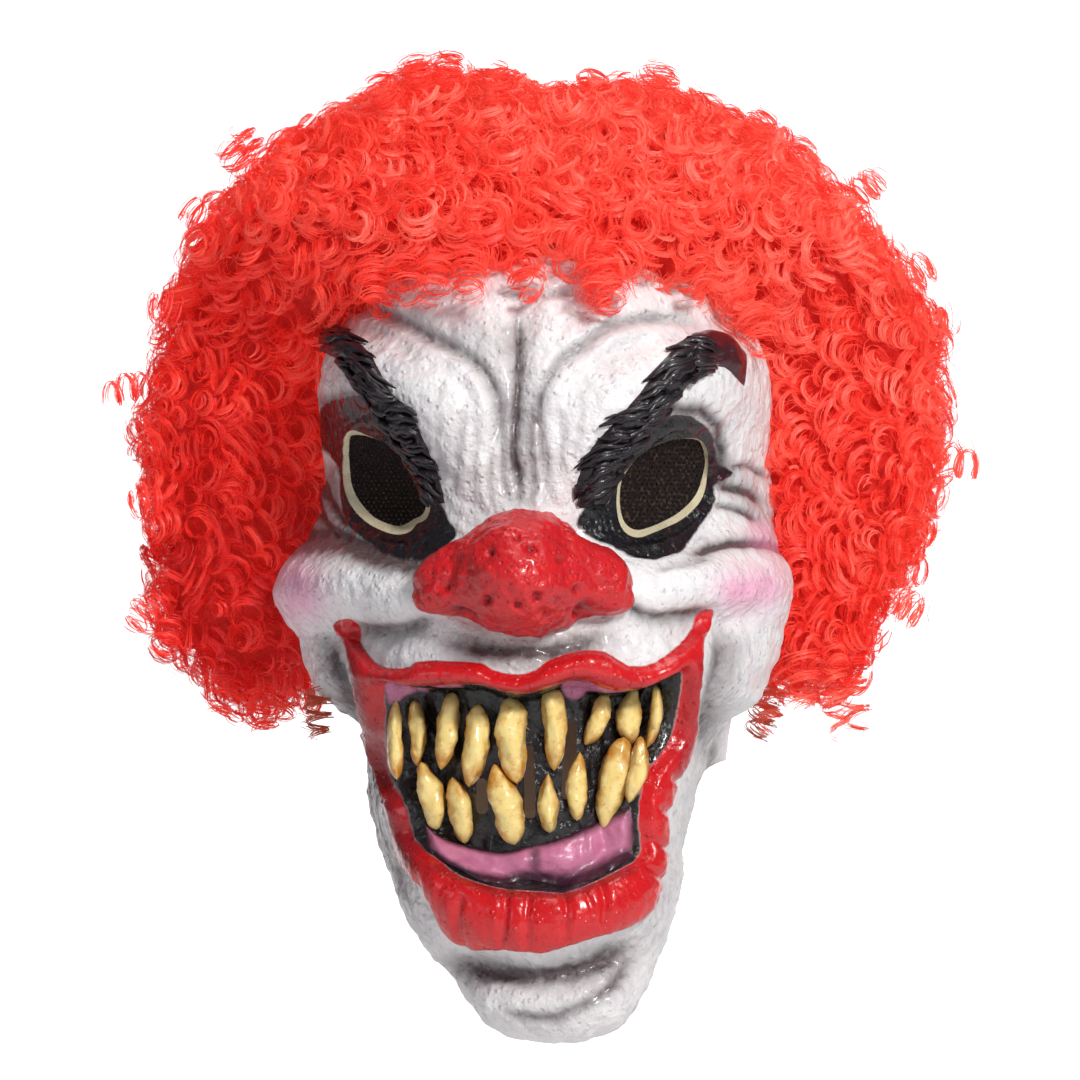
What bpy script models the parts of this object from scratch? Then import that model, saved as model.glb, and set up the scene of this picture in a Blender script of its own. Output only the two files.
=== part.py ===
"""Clown mask. A hollow latex head mask with a moulded nose, lips, brows, gum and teeth, gauze
behind the eye holes and a curly wig.

Metres, +Z up. The face looks along -Y and the viewer sees +X on the right. The origin lies on the
inside of the crown, where the wearer's head carries the mask.

Places on the face are front-view shares: across is a share of HALF_WIDTH from the middle, and down
is a share of MASK_HEIGHT from the crown.
"""

import math
from collections import namedtuple

import bpy
import numpy as np
from mathutils import Vector
from mathutils.bvhtree import BVHTree

MM = 0.001

# Latex head
MASK_HEIGHT = 313 * MM  # crown to the underside of the chin
HALF_WIDTH = 90 * MM  # middle to the outside of a cheek
FRONT_DEPTH = 112 * MM  # crown axis to the upper lip
BACK_DEPTH = 106 * MM  # crown axis to the back of the head
WALL = 2.5 * MM
SEAT_GAP = 0.3 * MM  # between any two pieces that touch
RELIEF = 10 * MM  # the share that every bulge and furrow is measured in
MOUTH_DEPTH = 12 * MM
MOUTH_EDGE = 7 * MM  # how far the wall of the mouth takes to reach its floor

# Pieces on the face
NOSE_HALF_WIDTH = 38 * MM
NOSE_HALF_HEIGHT = 22 * MM
NOSE_REACH = 37 * MM  # how far its tip stands in front of the face
NOSTRIL_WING_HEIGHT = 13 * MM
NOSTRIL_WING_REACH = 16 * MM
NOSTRIL_WING_DROP = 5 * MM
LIP_THICKNESS = 5.5 * MM
BROW_THICKNESS = 4.5 * MM
GUM_THICKNESS = 4.5 * MM
TOOTH_LENGTH = 31 * MM
TOOTH_WIDTH = 11 * MM
TOOTH_THICKNESS = 6 * MM
TOOTH_STAND = 1.5 * MM  # its middle stands this far in front of the mouth's floor
SLOT_WIDTH = 4 * MM
GAUZE_THICKNESS = 0.8 * MM
GAUZE_MARGIN = 6 * MM  # round the hole

# Wig
WIG_HALF_WIDTH = 146 * MM
WIG_TOP = 38 * MM  # above the crown
WIG_FORE = 120 * MM  # in front of the middle of the wig
WIG_AFT = 136 * MM  # behind the middle of the wig
WIG_SETBACK = 10 * MM  # middle of the wig behind the crown axis
LOCK_RELIEF = 9 * MM

# Facets
FRONT_COLUMNS = 28
BACK_COLUMNS = 10
FACE_STEP = 0.48  # rings of the shell, in rows of RINGS
WIG_COLUMNS = 46
WIG_RINGS = 26
LOCK_COUNT = 150


# The latex shell: a loft through rows, from the crown down to the cut rim of the neck.
# front, side and back: how far down the row lies there. width: its half width. fore, middle and
# aft: how far its front, widest place and back lie from the crown axis. skew: how far its front
# leans to the viewer's right, as the chin of the real mask does.
Ring = namedtuple("Ring", "front side back width fore middle aft skew")
RINGS = (
    Ring(0.000, 0.000, 0.000, 0.000, 0.000, 0.000, 0.000, 0.000),
    Ring(0.012, 0.012, 0.012, 0.290, 0.270, 0.000, 0.260, 0.000),
    Ring(0.045, 0.045, 0.045, 0.500, 0.464, 0.000, 0.470, 0.000),
    Ring(0.095, 0.095, 0.095, 0.672, 0.652, 0.000, 0.660, 0.000),
    Ring(0.155, 0.155, 0.155, 0.783, 0.786, 0.000, 0.810, 0.000),
    Ring(0.220, 0.220, 0.220, 0.856, 0.866, 0.000, 0.915, 0.000),
    Ring(0.290, 0.280, 0.270, 0.915, 0.929, 0.000, 0.980, 0.000),
    Ring(0.375, 0.355, 0.335, 0.920, 0.893, 0.000, 1.000, 0.000),
    Ring(0.440, 0.415, 0.400, 0.930, 0.920, 0.000, 1.000, 0.000),
    Ring(0.505, 0.470, 0.455, 0.940, 0.964, 0.000, 0.970, 0.000),
    Ring(0.570, 0.520, 0.510, 0.910, 0.990, 0.000, 0.935, 0.000),
    Ring(0.640, 0.565, 0.565, 0.860, 1.005, 0.000, 0.895, 0.000),
    Ring(0.720, 0.610, 0.620, 0.790, 1.020, 0.020, 0.860, 0.000),
    Ring(0.800, 0.650, 0.670, 0.750, 1.020, 0.045, 0.830, 0.030),
    Ring(0.865, 0.675, 0.710, 0.733, 1.005, 0.070, 0.810, 0.060),
    Ring(0.920, 0.690, 0.745, 0.728, 0.955, 0.090, 0.800, 0.080),
    Ring(0.965, 0.697, 0.770, 0.722, 0.935, 0.105, 0.790, 0.100),
    Ring(0.998, 0.700, 0.790, 0.722, 0.840, 0.120, 0.785, 0.117),
    Ring(0.985, 0.703, 0.800, 0.722, 0.660, 0.130, 0.785, 0.110),
)
DOME_ROWS = 5  # rows above the brow, one ring of facets each
LEAN_TURN = 0.65  # cosine of the angle where a row's lean changes side
SECTION_ROUNDNESS = 0.92  # under 1 squares a section off a little
ROW_SAG = 2.4  # how flat a row stays across the face before it climbs to the side

# Bulges and furrows of the face. height is a share of RELIEF, spread a share of HALF_WIDTH, and
# path its line in front-view shares.
Form = namedtuple("Form", "name height spread path")
FORMS = (
    Form("brow pad left", 0.75, 0.20, ((-0.66, 0.25), (-0.46, 0.29), (-0.26, 0.35))),
    Form("brow pad right", 0.75, 0.20, ((0.72, 0.24), (0.48, 0.29), (0.24, 0.35))),
    Form("middle furrow", -0.50, 0.06, ((-0.03, 0.18), (-0.02, 0.23), (-0.04, 0.31), (-0.03, 0.39))),
    Form("pad furrow left", -0.40, 0.07, ((-0.71, 0.19), (-0.38, 0.22), (-0.18, 0.28), (-0.08, 0.36))),
    Form("pad furrow right", -0.40, 0.07, ((0.80, 0.20), (0.48, 0.21), (0.20, 0.26), (0.06, 0.36))),
    Form("eye socket left", -1.00, 0.25, ((-0.56, 0.37), (-0.56, 0.40))),
    Form("eye socket right", -1.00, 0.25, ((0.53, 0.37), (0.52, 0.40))),
    Form("nose bridge", 0.60, 0.13, ((-0.01, 0.36), (-0.01, 0.46))),
    Form("cheek left", 1.15, 0.16, ((-0.40, 0.507), (-0.62, 0.49), (-0.90, 0.50), (-1.00, 0.55), (-0.84, 0.61))),
    Form("cheek side left", 0.55, 0.22, ((-0.95, 0.50), (-0.98, 0.56))),
    Form("cheek right", 1.05, 0.16, ((0.40, 0.497), (0.62, 0.487), (0.86, 0.50), (0.91, 0.54), (0.79, 0.61))),
    Form("smile fold left", -0.55, 0.07, ((-0.36, 0.545), (-0.58, 0.553), (-0.73, 0.54))),
    Form("smile fold right", -0.55, 0.07, ((0.36, 0.54), (0.58, 0.545), (0.73, 0.53))),
    Form("muzzle", 0.55, 0.17, ((-0.42, 0.575), (0.00, 0.575), (0.46, 0.57))),
    Form("lower lip shelf", 0.45, 0.15, ((-0.32, 0.85), (0.00, 0.88), (0.34, 0.855))),
    Form("chin crease", -0.60, 0.08, ((-0.26, 0.92), (0.06, 0.935), (0.34, 0.915))),
    Form("chin", 0.45, 0.16, ((-0.10, 0.965), (0.10, 0.975), (0.28, 0.955))),
    Form("jaw fold left", -0.35, 0.06, ((-0.66, 0.66), (-0.60, 0.74), (-0.50, 0.82))),
    Form("jaw fold right", -0.35, 0.06, ((0.70, 0.65), (0.64, 0.73), (0.56, 0.80))),
)

# Outlines in front-view shares, anticlockwise from the top left.
MOUTH_OUTLINE = (
    (-0.54, 0.604), (-0.55, 0.670), (-0.53, 0.709), (-0.47, 0.745), (-0.43, 0.779),
    (-0.33, 0.806), (-0.22, 0.824), (-0.04, 0.837), (0.17, 0.837), (0.36, 0.812),
    (0.44, 0.790), (0.44, 0.729), (0.50, 0.695), (0.56, 0.663), (0.60, 0.600),
    (0.54, 0.597), (0.43, 0.609), (0.32, 0.612), (0.20, 0.600), (0.07, 0.609),
    (-0.04, 0.614), (-0.18, 0.606), (-0.29, 0.606), (-0.43, 0.606),
)
EYE_OUTLINES = {
    "left": (
        (-0.70, 0.327), (-0.77, 0.341), (-0.77, 0.365), (-0.75, 0.395), (-0.70, 0.422),
        (-0.62, 0.437), (-0.50, 0.442), (-0.39, 0.421), (-0.40, 0.390), (-0.47, 0.356),
        (-0.57, 0.331),
    ),
    "right": (
        (0.35, 0.365), (0.34, 0.400), (0.34, 0.427), (0.39, 0.443), (0.50, 0.436),
        (0.59, 0.420), (0.66, 0.390), (0.70, 0.355), (0.67, 0.334), (0.58, 0.330),
        (0.46, 0.342),
    ),
}
EYE_CUT_LEAN_IN = 0.30  # towards the nose, for each unit inwards
EYE_CUT_LEAN_UP = 0.50

# Breathing slots through the floor of the mouth. length is a share of TOOTH_LENGTH.
Slot = namedtuple("Slot", "across down length")
SLOTS = (Slot(-0.165, 0.735, 0.50), Slot(0.025, 0.722, 0.70), Slot(0.185, 0.690, 0.95))

# Lips, brows and the gum: bands laid on the face. halves: the half width at each point of the
# path, as shares of HALF_WIDTH.
Band = namedtuple("Band", "name thickness steps sides path halves")
BANDS = (
    Band(
        "lip_upper", LIP_THICKNESS, 15, 6,
        ((-0.58, 0.588), (-0.44, 0.594), (-0.30, 0.592), (-0.16, 0.594), (-0.04, 0.604),
         (0.08, 0.594), (0.21, 0.584), (0.30, 0.589), (0.41, 0.597), (0.52, 0.588), (0.60, 0.570)),
        (0.024, 0.048, 0.060, 0.058, 0.052, 0.062, 0.070, 0.074, 0.062, 0.056, 0.026),
    ),
    Band(
        "lip_lower", LIP_THICKNESS, 27, 6,
        ((-0.72, 0.548), (-0.67, 0.590), (-0.61, 0.640), (-0.56, 0.690), (-0.50, 0.745),
         (-0.44, 0.795), (-0.33, 0.838), (-0.20, 0.862), (-0.03, 0.870), (0.13, 0.868),
         (0.29, 0.857), (0.42, 0.838), (0.48, 0.808), (0.49, 0.768), (0.53, 0.715),
         (0.60, 0.662), (0.64, 0.610), (0.70, 0.545)),
        (0.028, 0.038, 0.040, 0.038, 0.042, 0.055, 0.085, 0.115, 0.120, 0.120,
         0.110, 0.085, 0.055, 0.048, 0.046, 0.040, 0.030, 0.022),
    ),
    Band(
        "brow_left", BROW_THICKNESS, 9, 6,
        ((-0.80, 0.222), (-0.72, 0.240), (-0.62, 0.287), (-0.52, 0.332), (-0.42, 0.377), (-0.37, 0.400)),
        (0.050, 0.068, 0.074, 0.070, 0.066, 0.025),
    ),
    Band(
        "brow_right", BROW_THICKNESS, 11, 6,
        ((0.82, 0.262), (0.78, 0.236), (0.67, 0.234), (0.54, 0.262), (0.43, 0.299), (0.32, 0.334), (0.22, 0.385)),
        (0.040, 0.070, 0.085, 0.080, 0.078, 0.074, 0.035),
    ),
    Band(
        "gum_lower", GUM_THICKNESS, 10, 6,
        ((-0.33, 0.789), (-0.22, 0.801), (-0.09, 0.807), (0.04, 0.804), (0.17, 0.802), (0.29, 0.790), (0.38, 0.772)),
        (0.030, 0.064, 0.074, 0.056, 0.074, 0.072, 0.036),
    ),
)

# Teeth, from the viewer's left. long and wide are shares of TOOTH_LENGTH and TOOTH_WIDTH, lean is
# degrees of the top towards +X, and fat is how far down the tooth is widest.
Tooth = namedtuple("Tooth", "name across down long wide lean fat")
TEETH = (
    Tooth("tooth_upper_1", -0.510, 0.668, 0.90, 0.55, 0, 0.50),
    Tooth("tooth_upper_2", -0.430, 0.660, 0.72, 0.56, 3, 0.40),
    Tooth("tooth_upper_3", -0.320, 0.660, 0.84, 0.74, 7, 0.40),
    Tooth("tooth_upper_4", -0.200, 0.673, 0.92, 0.84, 4, 0.45),
    Tooth("tooth_upper_5", -0.060, 0.669, 0.94, 1.00, -5, 0.45),
    Tooth("tooth_upper_6", 0.110, 0.656, 0.86, 0.84, -1, 0.35),
    Tooth("tooth_upper_7", 0.270, 0.646, 0.58, 0.66, 20, 0.45),
    Tooth("tooth_upper_8", 0.395, 0.644, 0.58, 0.76, 6, 0.45),
    Tooth("tooth_upper_9", 0.490, 0.645, 0.68, 0.44, 3, 0.40),
    Tooth("tooth_lower_1", -0.400, 0.733, 0.72, 0.82, -18, 0.55),
    Tooth("tooth_lower_2", -0.270, 0.749, 0.72, 0.78, -17, 0.55),
    Tooth("tooth_lower_3", -0.090, 0.742, 0.84, 0.95, -14, 0.55),
    Tooth("tooth_lower_4", 0.100, 0.744, 0.62, 0.66, -2, 0.60),
    Tooth("tooth_lower_5", 0.205, 0.724, 0.78, 0.62, 4, 0.60),
    Tooth("tooth_lower_6", 0.320, 0.722, 0.88, 0.88, 12, 0.50),
    Tooth("tooth_lower_7", 0.430, 0.712, 0.68, 0.56, 5, 0.50),
)
TOOTH_SIDES = 6
TOOTH_RINGS = 5

NOSE_PLACE = (-0.01, 0.482)
NOSE_COLUMNS = 16
NOSE_RINGS = 10
NOSE_BLEND = 5  # higher joins the bulb and the nostril wings with a tighter valley
WING_SQUARENESS = 3

# Where the hair leaves the face free, as angles in degrees about the middle of the wig: azimuth
# from the front and elevation from the horizon.
WIG_MIDDLE_DOWN = 0.318  # share of MASK_HEIGHT
HAIRLINE_SIDE = 60
HAIRLINE_TOP = 22
HAIRLINE_SQUARENESS = 4
HAIR_BOTTOM = -46
HAIR_EDGE = 12  # degrees that the hair takes to reach its full depth
# Outline of the hair from in front: degrees anticlockwise from the viewer's right, and the reach as
# a share of the plain ball's. It has a hump on either side of a dip at the top.
Reach = namedtuple("Reach", "turn share")
HAIR_OUTLINE = (
    Reach(-90, 0.97), Reach(-60, 0.95), Reach(-45, 0.97), Reach(-30, 0.88), Reach(-15, 0.935), Reach(0, 0.975),
    Reach(15, 1.015), Reach(30, 0.965), Reach(60, 0.96), Reach(75, 0.95), Reach(90, 0.90), Reach(105, 0.99),
    Reach(120, 1.02), Reach(150, 1.025), Reach(180, 1.035), Reach(195, 1.02), Reach(210, 1.06),
    Reach(225, 0.99), Reach(270, 0.97),
)
HIDDEN_DEPTH = 0.75  # share of the way to the skin where the ball runs inside the head
LOWER_FULLNESS = 0.08  # the sides swell by this share towards their lower edge


# Small geometry helpers

def front_view(across, down):
    """The x and z of a place on the face."""
    return across * HALF_WIDTH, WALL - down * MASK_HEIGHT


def smooth_path(points, count):
    """count points along a Catmull-Rom curve through the points."""
    p = np.asarray(points, float)
    p = np.vstack([2 * p[0] - p[1], p, 2 * p[-1] - p[-2]])
    t = np.linspace(0, len(points) - 1, count)
    i = np.minimum(t.astype(int), len(points) - 2)
    f = (t - i)[:, None]
    a, b, c, d = p[i], p[i + 1], p[i + 2], p[i + 3]
    return 0.5 * (2 * b + (c - a) * f + (2 * a - 5 * b + 4 * c - d) * f**2 + (3 * b - a - 3 * c + d) * f**3)


def distance_to_path(x, z, path):
    """Distance in the front view from each x, z to the line through the path."""
    best = np.full(x.shape, np.inf)
    for (ax, az), (bx, bz) in zip(path, path[1:]):
        dx, dz = bx - ax, bz - az
        t = np.clip(((x - ax) * dx + (z - az) * dz) / (dx * dx + dz * dz), 0, 1)
        best = np.minimum(best, np.hypot(x - ax - t * dx, z - az - t * dz))
    return best


def inside_outline(x, z, outline):
    """True where x, z lies inside the closed outline."""
    inside = np.zeros(x.shape, bool)
    for (ax, az), (bx, bz) in zip(outline, outline[1:] + outline[:1]):
        crosses = (az > z) != (bz > z)
        span = bz - az if bz != az else 1.0
        inside ^= crosses & (x < ax + (bx - ax) * (z - az) / span)
    return inside


def smoothstep(low, high, value):
    t = np.clip((value - low) / (high - low), 0, 1)
    return t * t * (3 - 2 * t)


def grid_faces(rows, columns, flip=False, first=0, closed=True):
    """Triangles of a grid, which closes round its columns or not."""
    faces = []
    for i in range(rows - 1):
        for j in range(columns if closed else columns - 1):
            a, b = first + i * columns + j, first + i * columns + (j + 1) % columns
            pair = ((a, a + columns, b + columns), (a, b + columns, b))
            faces += [face[::-1] for face in pair] if flip else pair
    return faces


def fan(ring, tip, flip=False):
    """Triangles from a closed ring of vertices to a tip."""
    pairs = zip(ring, ring[1:] + ring[:1])
    return [(b, a, tip) if flip else (a, b, tip) for a, b in pairs]


def grid_normals(grid):
    """Outward unit normals of a grid of rows from the crown down and columns towards +X."""
    down = np.gradient(grid, axis=0)
    round_ = np.roll(grid, -1, axis=1) - np.roll(grid, 1, axis=1)
    normal = np.cross(down, round_)
    return normal / np.linalg.norm(normal, axis=2, keepdims=True)


# The latex surface

def shell_angles():
    """Angles of the columns: 0 faces the front, and the front half is the finer one."""
    front = np.linspace(-90, 90, FRONT_COLUMNS + 1)
    back = np.linspace(90, 270, BACK_COLUMNS + 1)[1:-1]
    return np.radians(np.concatenate([front, back]))


def shell_stations():
    """Places of the rings, counted in rows of RINGS, without the crown's own point."""
    last = len(RINGS) - 1
    steps = max(2, round((last - 1 - DOME_ROWS) / FACE_STEP))
    face = np.linspace(DOME_ROWS, last - 1, steps)
    return np.concatenate([np.arange(1, DOME_ROWS), face, [last - 0.5, last]])


def base_grid(stations, angles):
    """The head without its relief, as rows x columns x 3."""
    p = np.array(RINGS)
    p = np.vstack([2 * p[0] - p[1], p, 2 * p[-1] - p[-2]])
    i = np.minimum(stations.astype(int), len(RINGS) - 2)
    f = (stations - i)[:, None]
    a, b, c, d = p[i], p[i + 1], p[i + 2], p[i + 3]
    rows = 0.5 * (2 * b + (c - a) * f + (2 * a - 5 * b + 4 * c - d) * f**2 + (3 * b - a - 3 * c + d) * f**3)
    row = Ring(*(column[:, None] for column in rows.T))
    s, c = np.sin(angles)[None, :], np.cos(angles)[None, :]
    across = np.sign(s) * np.abs(s) ** SECTION_ROUNDNESS
    ahead = np.sign(c) * np.abs(c) ** SECTION_ROUNDNESS
    lean = np.clip(c, 0, 1) * (c - LEAN_TURN) / (1 - LEAN_TURN)
    x = HALF_WIDTH * (row.width * across + row.skew * lean)
    middle = FRONT_DEPTH * row.middle
    reach = np.where(c > 0, FRONT_DEPTH * row.fore + middle, BACK_DEPTH * row.aft - middle)
    y = middle - reach * ahead
    end = np.where(c > 0, row.front, row.back)
    down = row.side + (end - row.side) * (1 - np.abs(s) ** ROW_SAG)
    return np.stack(np.broadcast_arrays(x, y, WALL - MASK_HEIGHT * down), axis=2)


def relief(grid, angles):
    """Height of the relief at each point of the base grid, mouth included."""
    x, z = grid[..., 0], grid[..., 2]
    height = np.zeros(x.shape)
    for form in FORMS:
        path = [front_view(*place) for place in form.path]
        distance = distance_to_path(x, z, path)
        height += form.height * RELIEF * np.exp(-((distance / (form.spread * HALF_WIDTH)) ** 2))
    outline = [front_view(*place) for place in MOUTH_OUTLINE]
    depth = np.where(inside_outline(x, z, outline), distance_to_path(x, z, outline + outline[:1]), 0)
    height -= MOUTH_DEPTH * smoothstep(0, MOUTH_EDGE, depth)
    return height * np.clip(4 * np.cos(angles), 0, 1)[None, :]


def face_grids():
    """The outer surface of the latex, and its normals."""
    angles = shell_angles()
    base = base_grid(shell_stations(), angles)
    outer = base + relief(base, angles)[..., None] * grid_normals(base)
    return outer, grid_normals(outer)


# Objects

def material(name, colour, roughness, metallic=0.0):
    made = bpy.data.materials.new(name)
    made.use_nodes = True
    shader = made.node_tree.nodes["Principled BSDF"]
    shader.inputs["Base Color"].default_value = (*colour, 1)
    shader.inputs["Roughness"].default_value = roughness
    shader.inputs["Metallic"].default_value = metallic
    return made


def add_object(name, vertices, faces, finish=None, cutter=False):
    mesh = bpy.data.meshes.new(name)
    mesh.from_pydata([tuple(map(float, v)) for v in vertices], [], faces)
    mesh.validate()
    obj = bpy.data.objects.new(name, mesh)
    bpy.context.scene.collection.objects.link(obj)
    if finish:
        mesh.materials.append(finish)
        mesh.shade_smooth()
        mesh.set_sharp_from_angle(angle=math.radians(50))
    if cutter:
        obj.hide_render = True
        obj.display_type = "WIRE"
    return obj


def subtract(obj, cutter):
    cut = obj.modifiers.new("seat on " + cutter.name, "BOOLEAN")
    cut.operation = "DIFFERENCE"
    cut.solver = "EXACT"
    cut.object = cutter


def closed_head(name, grid, crown):
    """The space inside a grid as one solid, closed over the crown and across the neck."""
    rows, columns = grid.shape[:2]
    vertices = list(grid.reshape(-1, 3)) + [crown, grid[-1].mean(axis=0)]
    first, last = list(range(columns)), list(range((rows - 1) * columns, rows * columns))
    faces = grid_faces(rows, columns)
    faces += fan(first, rows * columns) + fan(last, rows * columns + 1, flip=True)
    return add_object(name, vertices, faces, cutter=True)


def prism(name, outline, start, along):
    """A solid with the outline at start, swept by the vector along."""
    near = [Vector((x, start, z)) for x, z in outline]
    count = len(near)
    vertices = near + [point + Vector(along) for point in near]
    sides = [(i, i + count, (i + 1) % count + count, (i + 1) % count) for i in range(count)]
    faces = [tuple(range(count)), tuple(range(2 * count - 1, count - 1, -1))] + sides
    return add_object(name, vertices, faces, cutter=True)


def make_shell(outer, normals, finish):
    """The latex wall between the outer surface and the same surface moved in by WALL."""
    inner = outer - WALL * normals
    rows, columns = outer.shape[:2]
    half = rows * columns
    vertices = list(outer.reshape(-1, 3)) + list(inner.reshape(-1, 3)) + [(0, 0, WALL), (0, 0, 0)]
    faces = grid_faces(rows, columns) + grid_faces(rows, columns, flip=True, first=half)
    faces += fan(list(range(columns)), 2 * half)
    faces += fan(list(range(half, half + columns)), 2 * half + 1, flip=True)
    rim = half - columns
    for j in range(columns):
        k = (j + 1) % columns
        faces.append((rim + j, half + rim + j, half + rim + k, rim + k))
    return add_object("mask_shell", vertices, faces, finish)


def cut_eye_holes(shell, face):
    """Holes whose cut wall leans in towards the nose and up, so its raw edge shows from in front."""
    for side, outline in EYE_OUTLINES.items():
        towards_nose = 1 if side == "left" else -1
        lean = Vector((EYE_CUT_LEAN_IN * towards_nose, 0, EYE_CUT_LEAN_UP))
        near, far = [], []
        for place in outline:
            point, normal = face.at(*front_view(*place))
            inward = (lean - normal).normalized()
            near.append(point - 2 * WALL * inward)
            far.append(point + 3 * WALL * inward)
        count = len(near)
        middles = [sum(ring, Vector()) / count for ring in (near, far)]
        middles[0] = middles[0] - Vector((0, 4 * WALL, 0))
        middles[1] = middles[1] + Vector((0, 4 * WALL, 0))
        faces = grid_faces(2, count)
        faces += fan(list(range(count)), 2 * count)
        faces += fan(list(range(count, 2 * count)), 2 * count + 1, flip=True)
        subtract(shell, add_object("eye_cut_" + side, near + far + middles, faces, cutter=True))


def cut_slots(shell):
    """Round-ended slots through the floor of the mouth."""
    radius = SLOT_WIDTH / 2
    for number, slot in enumerate(SLOTS, 1):
        x, z = front_view(slot.across, slot.down)
        straight = slot.length * TOOTH_LENGTH / 2 - radius
        outline = []
        for end, first in ((straight, 0), (-straight, 180)):
            for turn in range(0, 181, 45):
                angle = math.radians(first + turn)
                outline.append((x + radius * math.cos(angle), z + end + radius * math.sin(angle)))
        subtract(shell, prism(f"slot_cut_{number}", outline, -FRONT_DEPTH, (0, FRONT_DEPTH / 2, 0)))


class Face:
    """The finished outer surface, asked for the point and the normal behind a front-view place."""

    def __init__(self, solid):
        self.tree = BVHTree.FromObject(solid, bpy.context.evaluated_depsgraph_get())

    def at(self, x, z):
        point, normal, _, _ = self.tree.ray_cast(Vector((x, -3 * FRONT_DEPTH, z)), Vector((0, 1, 0)))
        return point, normal


def make_band(band, face, finish):
    """A swelling strip along its path, half sunk in the face before its seat is cut."""
    path = smooth_path([front_view(*place) for place in band.path], band.steps)
    halves = HALF_WIDTH * smooth_path([(h, 0) for h in band.halves], band.steps)[:, 0]
    centres, normals = zip(*(face.at(x, z) for x, z in path))
    vertices = []
    for i, centre in enumerate(centres):
        before, after = centres[max(i - 1, 0)], centres[min(i + 1, len(centres) - 1)]
        along = (after - before).normalized()
        out = sum(normals[max(i - 1, 0):i + 2], Vector()).normalized()
        side = along.cross(out).normalized()
        out = side.cross(along)
        for j in range(band.sides):
            angle = 2 * math.pi * j / band.sides
            thickness = band.thickness * min(1.0, halves[i] / (0.04 * HALF_WIDTH))
            vertices.append(centre + side * halves[i] * math.cos(angle) + out * thickness * math.sin(angle))
    rows = len(centres)
    faces = grid_faces(rows, band.sides)
    faces.append(tuple(range(band.sides)))
    faces.append(tuple(range(rows * band.sides - 1, (rows - 1) * band.sides - 1, -1)))
    return add_object(band.name, vertices, faces, finish)


def make_nose(face, finish):
    """A round bulb joined to two flat nostril wings."""
    x, z = front_view(*NOSE_PLACE)
    root, _ = face.at(x, z)
    lobes = (
        (2, (NOSE_HALF_HEIGHT, NOSE_REACH, NOSE_HALF_HEIGHT)),
        (WING_SQUARENESS, (NOSE_HALF_WIDTH, NOSTRIL_WING_REACH, NOSTRIL_WING_HEIGHT)),
    )
    vertices = [root + Vector((0, 0, NOSE_HALF_HEIGHT))]
    for i in range(1, NOSE_RINGS):
        tilt = math.pi * i / NOSE_RINGS
        for j in range(NOSE_COLUMNS):
            turn = 2 * math.pi * j / NOSE_COLUMNS
            way = Vector((math.sin(tilt) * math.sin(turn), -math.sin(tilt) * math.cos(turn), math.cos(tilt)))
            reach = 0
            for power, radii in lobes:
                reach += sum(abs(w / r) ** power for w, r in zip(way, radii)) ** (-NOSE_BLEND / power)
            place = way * reach ** (1 / NOSE_BLEND)
            place.z -= NOSTRIL_WING_DROP * (place.x / NOSE_HALF_WIDTH) ** 2
            vertices.append(root + place)
    vertices.append(root - Vector((0, 0, NOSE_HALF_HEIGHT)))
    last = len(vertices) - 1
    faces = grid_faces(NOSE_RINGS - 1, NOSE_COLUMNS, first=1)
    faces += fan(list(range(1, 1 + NOSE_COLUMNS)), 0)
    faces += fan(list(range(last - NOSE_COLUMNS, last)), last, flip=True)
    return add_object("nose", vertices, faces, finish)


def make_tooth(tooth, face, finish):
    """A pointed spindle, half sunk in the floor of the mouth before its seat is cut."""
    x, z = front_view(tooth.across, tooth.down)
    lean = math.radians(tooth.lean)
    up = Vector((math.sin(lean), 0, math.cos(lean)))
    half = tooth.long * TOOTH_LENGTH / 2
    ends = [face.at(x + k * up.x * half * 0.7, z + k * up.z * half * 0.7)[0] for k in (-1, 0, 1)]
    centre = Vector((x, min(point.y for point in ends) - TOOTH_STAND, z))
    aside = Vector((math.cos(lean), 0, -math.sin(lean)))
    ahead = Vector((0, -1, 0))
    vertices = [centre + up * half]
    for i in range(1, TOOTH_RINGS):
        share = i / TOOTH_RINGS
        swell = share / tooth.fat if share < tooth.fat else (1 - share) / (1 - tooth.fat)
        swell = math.sin(swell * math.pi / 2) ** 0.7
        for j in range(TOOTH_SIDES):
            turn = 2 * math.pi * (j + 0.5) / TOOTH_SIDES
            across = tooth.wide * TOOTH_WIDTH / 2 * swell * math.sin(turn)
            depth = TOOTH_THICKNESS * swell * math.cos(turn)
            vertices.append(centre + up * half * (1 - 2 * share) + aside * across + ahead * depth)
    vertices.append(centre - up * half)
    last = len(vertices) - 1
    faces = grid_faces(TOOTH_RINGS - 1, TOOTH_SIDES, first=1)
    faces += fan(list(range(1, 1 + TOOTH_SIDES)), 0)
    faces += fan(list(range(last - TOOTH_SIDES, last)), last, flip=True)
    return add_object(tooth.name, vertices, faces, finish)


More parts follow.
